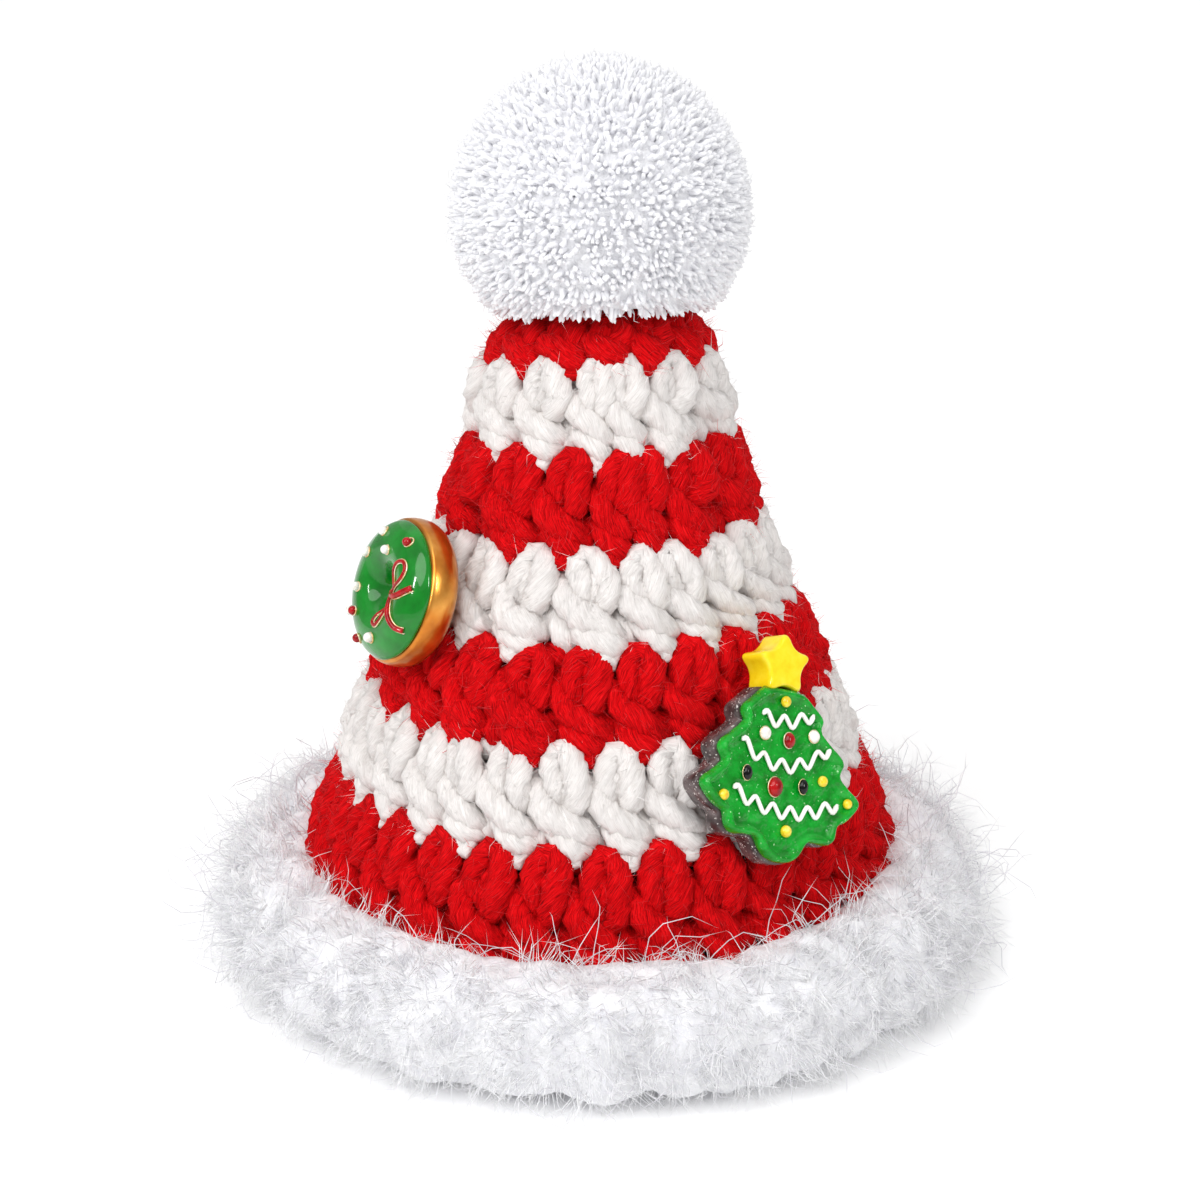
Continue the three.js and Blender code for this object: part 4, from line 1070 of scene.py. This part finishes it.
# Piping: each line hangs from two ends through its lowest point, in small waves. It swells at its ends
# and closes there. left, low and right are points in mm.
PIPING = {"radius": 0.24, "wave": 0.52, "peak": 0.25, "height": 3.95, "steps": 12, "sides": 10}
PIPING_END = {"swell": 0.25, "short": 14, "tip": 0.45}
GARLANDS = [
    {"left": (-3.0, 6.2), "low": (1.2, 5.7), "right": (3.7, 6.6), "waves": 3},
    {"left": (-5.6, 3.4), "low": (0.2, 1.0), "right": (6.0, 3.3), "waves": 5},
    {"left": (-6.5, -1.6), "low": (0.4, -3.8), "right": (7.1, -2.6), "waves": 6},
]
for number, garland in enumerate(GARLANDS, 1):
    bend = np.polyfit(*np.array([garland["left"], garland["low"], garland["right"]]).T, 2)
    part = np.linspace(0, 1, garland["waves"] * PIPING["steps"] + 1)
    x = garland["left"][0] + part * (garland["right"][0] - garland["left"][0])
    swing = np.sin(math.tau * garland["waves"] * part)
    y = np.polyval(bend, x) + PIPING["wave"] * swing * (1 + PIPING["peak"] * abs(swing))
    thick = np.ones(len(part))
    for off in (part, 1 - part):
        thick += PIPING_END["swell"] * np.exp(-(off * PIPING_END["short"]) ** 2)
    thick *= PIPING["radius"]
    thick[[0, -1]] *= PIPING_END["tip"]
    line = np.stack([x, y, np.full(len(x), PIPING["height"])], -1)
    shape = tube(line, thick, PIPING["sides"])
    piping = charm(f"tree_garland_{number}_piping", TREE_SEAT, shape, white_piping)
    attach(piping, BODY)
    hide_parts(f"tree_garland_{number}")

# Drops: place and radius in mm, and width, length and height as parts of the radius. Some sit in a
# thin gold rim.
DROPS = [
    (0.0, 7.7, 0.6, "yellow"), (-7.7, -2.3, 0.6, "yellow"), (5.1, -0.3, 0.6, "yellow"),
    (8.5, -2.5, 0.55, "yellow"), (0.4, -5.7, 0.65, "yellow"), (-2.6, 4.3, 0.65, "white"),
    (3.8, 4.3, 0.65, "white"), (0.5, 3.7, 0.75, "red"), (-1.2, -1.2, 0.95, "red"),
    (-4.8, 0.1, 0.7, "black"), (2.5, -1.0, 0.7, "black"),
]
DROP_SHAPE = {"yellow": (0.95, 1.0, 0.85), "white": (1.0, 1.0, 0.85), "red": (0.9, 1.1, 0.75),
              "black": (0.82, 1.15, 0.7)}
DROP_FOOT = 3.75
DROP_LIFT = 0.3
RIM_WIDTH = {"white": 0.1, "red": 0.07, "black": 0.06}
RIM = {"around": 24, "lift": 0.18, "sides": 6}
drop_finish.update(yellow=yellow_enamel, black=black_enamel)
rims = []
for number, (x, y, radius, colour) in enumerate(DROPS, 1):
    wide, long, tall = DROP_SHAPE[colour]
    corners, faces = ball(radius, DROP_RINGS, DROP_AROUND)
    corners = corners * [wide, long, tall] + [x, y, DROP_FOOT + DROP_LIFT * radius]
    drop = charm(f"tree_bead_{number}_drop", TREE_SEAT, (corners, faces), drop_finish[colour])
    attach(drop, BODY)
    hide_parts(f"tree_bead_{number}")
    if colour in RIM_WIDTH:
        turn = full_turn(RIM["around"])
        ring = np.stack([x + wide * radius * np.cos(turn), y + long * radius * np.sin(turn),
                         np.full(len(turn), DROP_FOOT + RIM["lift"])], -1)
        rims.append(tube(ring, RIM_WIDTH[colour], RIM["sides"], closed=True))
rim_rings = charm("tree_bead_rims", TREE_SEAT, joined(rims), gold_edge)
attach(rim_rings, BODY)

# Studio
# A plain white floor under soft, even light, with the camera where the photograph was taken from.
# Places, widths and heights are in mm.
STUDIO_CAMERA = {"place": (0.0, -280.0, 142.1), "aim": (0.0, 0.0, 41.1), "lens": 80.4, "near": 0.01}
FLOOR_REACH = 15000.0

floor_paint, tree, shader = new_material("matt white floor")
feed(tree, shader, {"Base Color": linear("#FFFFFF"), "Roughness": 0.9, "Specular IOR Level": 0.0})
floor_corners = np.array([(-1, -1, 0), (1, -1, 0), (1, 1, 0), (-1, 1, 0)]) * FLOOR_REACH
floor = shell("floor", floor_corners, [(0, 1, 2, 3)], floor_paint)

world = bpy.data.worlds.new("studio")
world.use_nodes = True
backdrop = world.node_tree.nodes["Background"].inputs
feed(world.node_tree, backdrop, {"Color": linear("#FFFFFF"), "Strength": 0.4})
bpy.context.scene.world = world
# White pile passes light on from fibre to fibre, so it takes more bounces than usual to look white.
bpy.context.scene.cycles.diffuse_bounces = 12


def set_up(name, data, place, aim):
    """Sets up a lamp or the camera at a place in mm, looking at another."""
    stand = bpy.data.objects.new(name, data)
    bpy.context.scene.collection.objects.link(stand)
    stand.location = Vector(place) * MM
    look = Vector(aim) * MM - stand.location
    stand.rotation_euler = look.to_track_quat("-Z", "Y").to_euler()
    return stand


# One broad light from high on the left, as from a large window, wide soft ones from above and behind,
# and two tall strip lights that give the glossy charms their bright streaks.
SKIES = [
    {"name": "window", "way": (0.36, 0.6, -1.0), "power": 1.45, "spread": 45},
    {"name": "ceiling", "way": (0.0, 0.15, -1.0), "power": 0.4, "spread": 110},
    {"name": "behind", "way": (-0.3, -0.9, -1.0), "power": 0.45, "spread": 90},
]
for sky in SKIES:
    lamp = bpy.data.lights.new(sky["name"], "SUN")
    lamp.energy = sky["power"]
    lamp.angle = math.radians(sky["spread"])
    set_up(sky["name"], lamp, (0, 0, 0), sky["way"])
STRIPS = [
    {"name": "left_strip", "place": (-330, -260, 260), "width": 26, "height": 140, "watts": 0.5},
    {"name": "right_strip", "place": (260, -330, 300), "width": 26, "height": 140, "watts": 0.5},
]
STRIP_AIM = (0, 0, 45)
for strip in STRIPS:
    lamp = bpy.data.lights.new(strip["name"], "AREA")
    lamp.shape = "RECTANGLE"
    lamp.size = strip["width"] * MM
    lamp.size_y = strip["height"] * MM
    lamp.energy = strip["watts"]
    set_up(strip["name"], lamp, strip["place"], STRIP_AIM)

camera = set_up("camera", bpy.data.cameras.new("camera"), STUDIO_CAMERA["place"], STUDIO_CAMERA["aim"])
camera.data.lens = STUDIO_CAMERA["lens"]
camera.data.clip_start = STUDIO_CAMERA["near"]
bpy.context.scene.camera = camera
bpy.context.scene.view_settings.view_transform = "Standard"
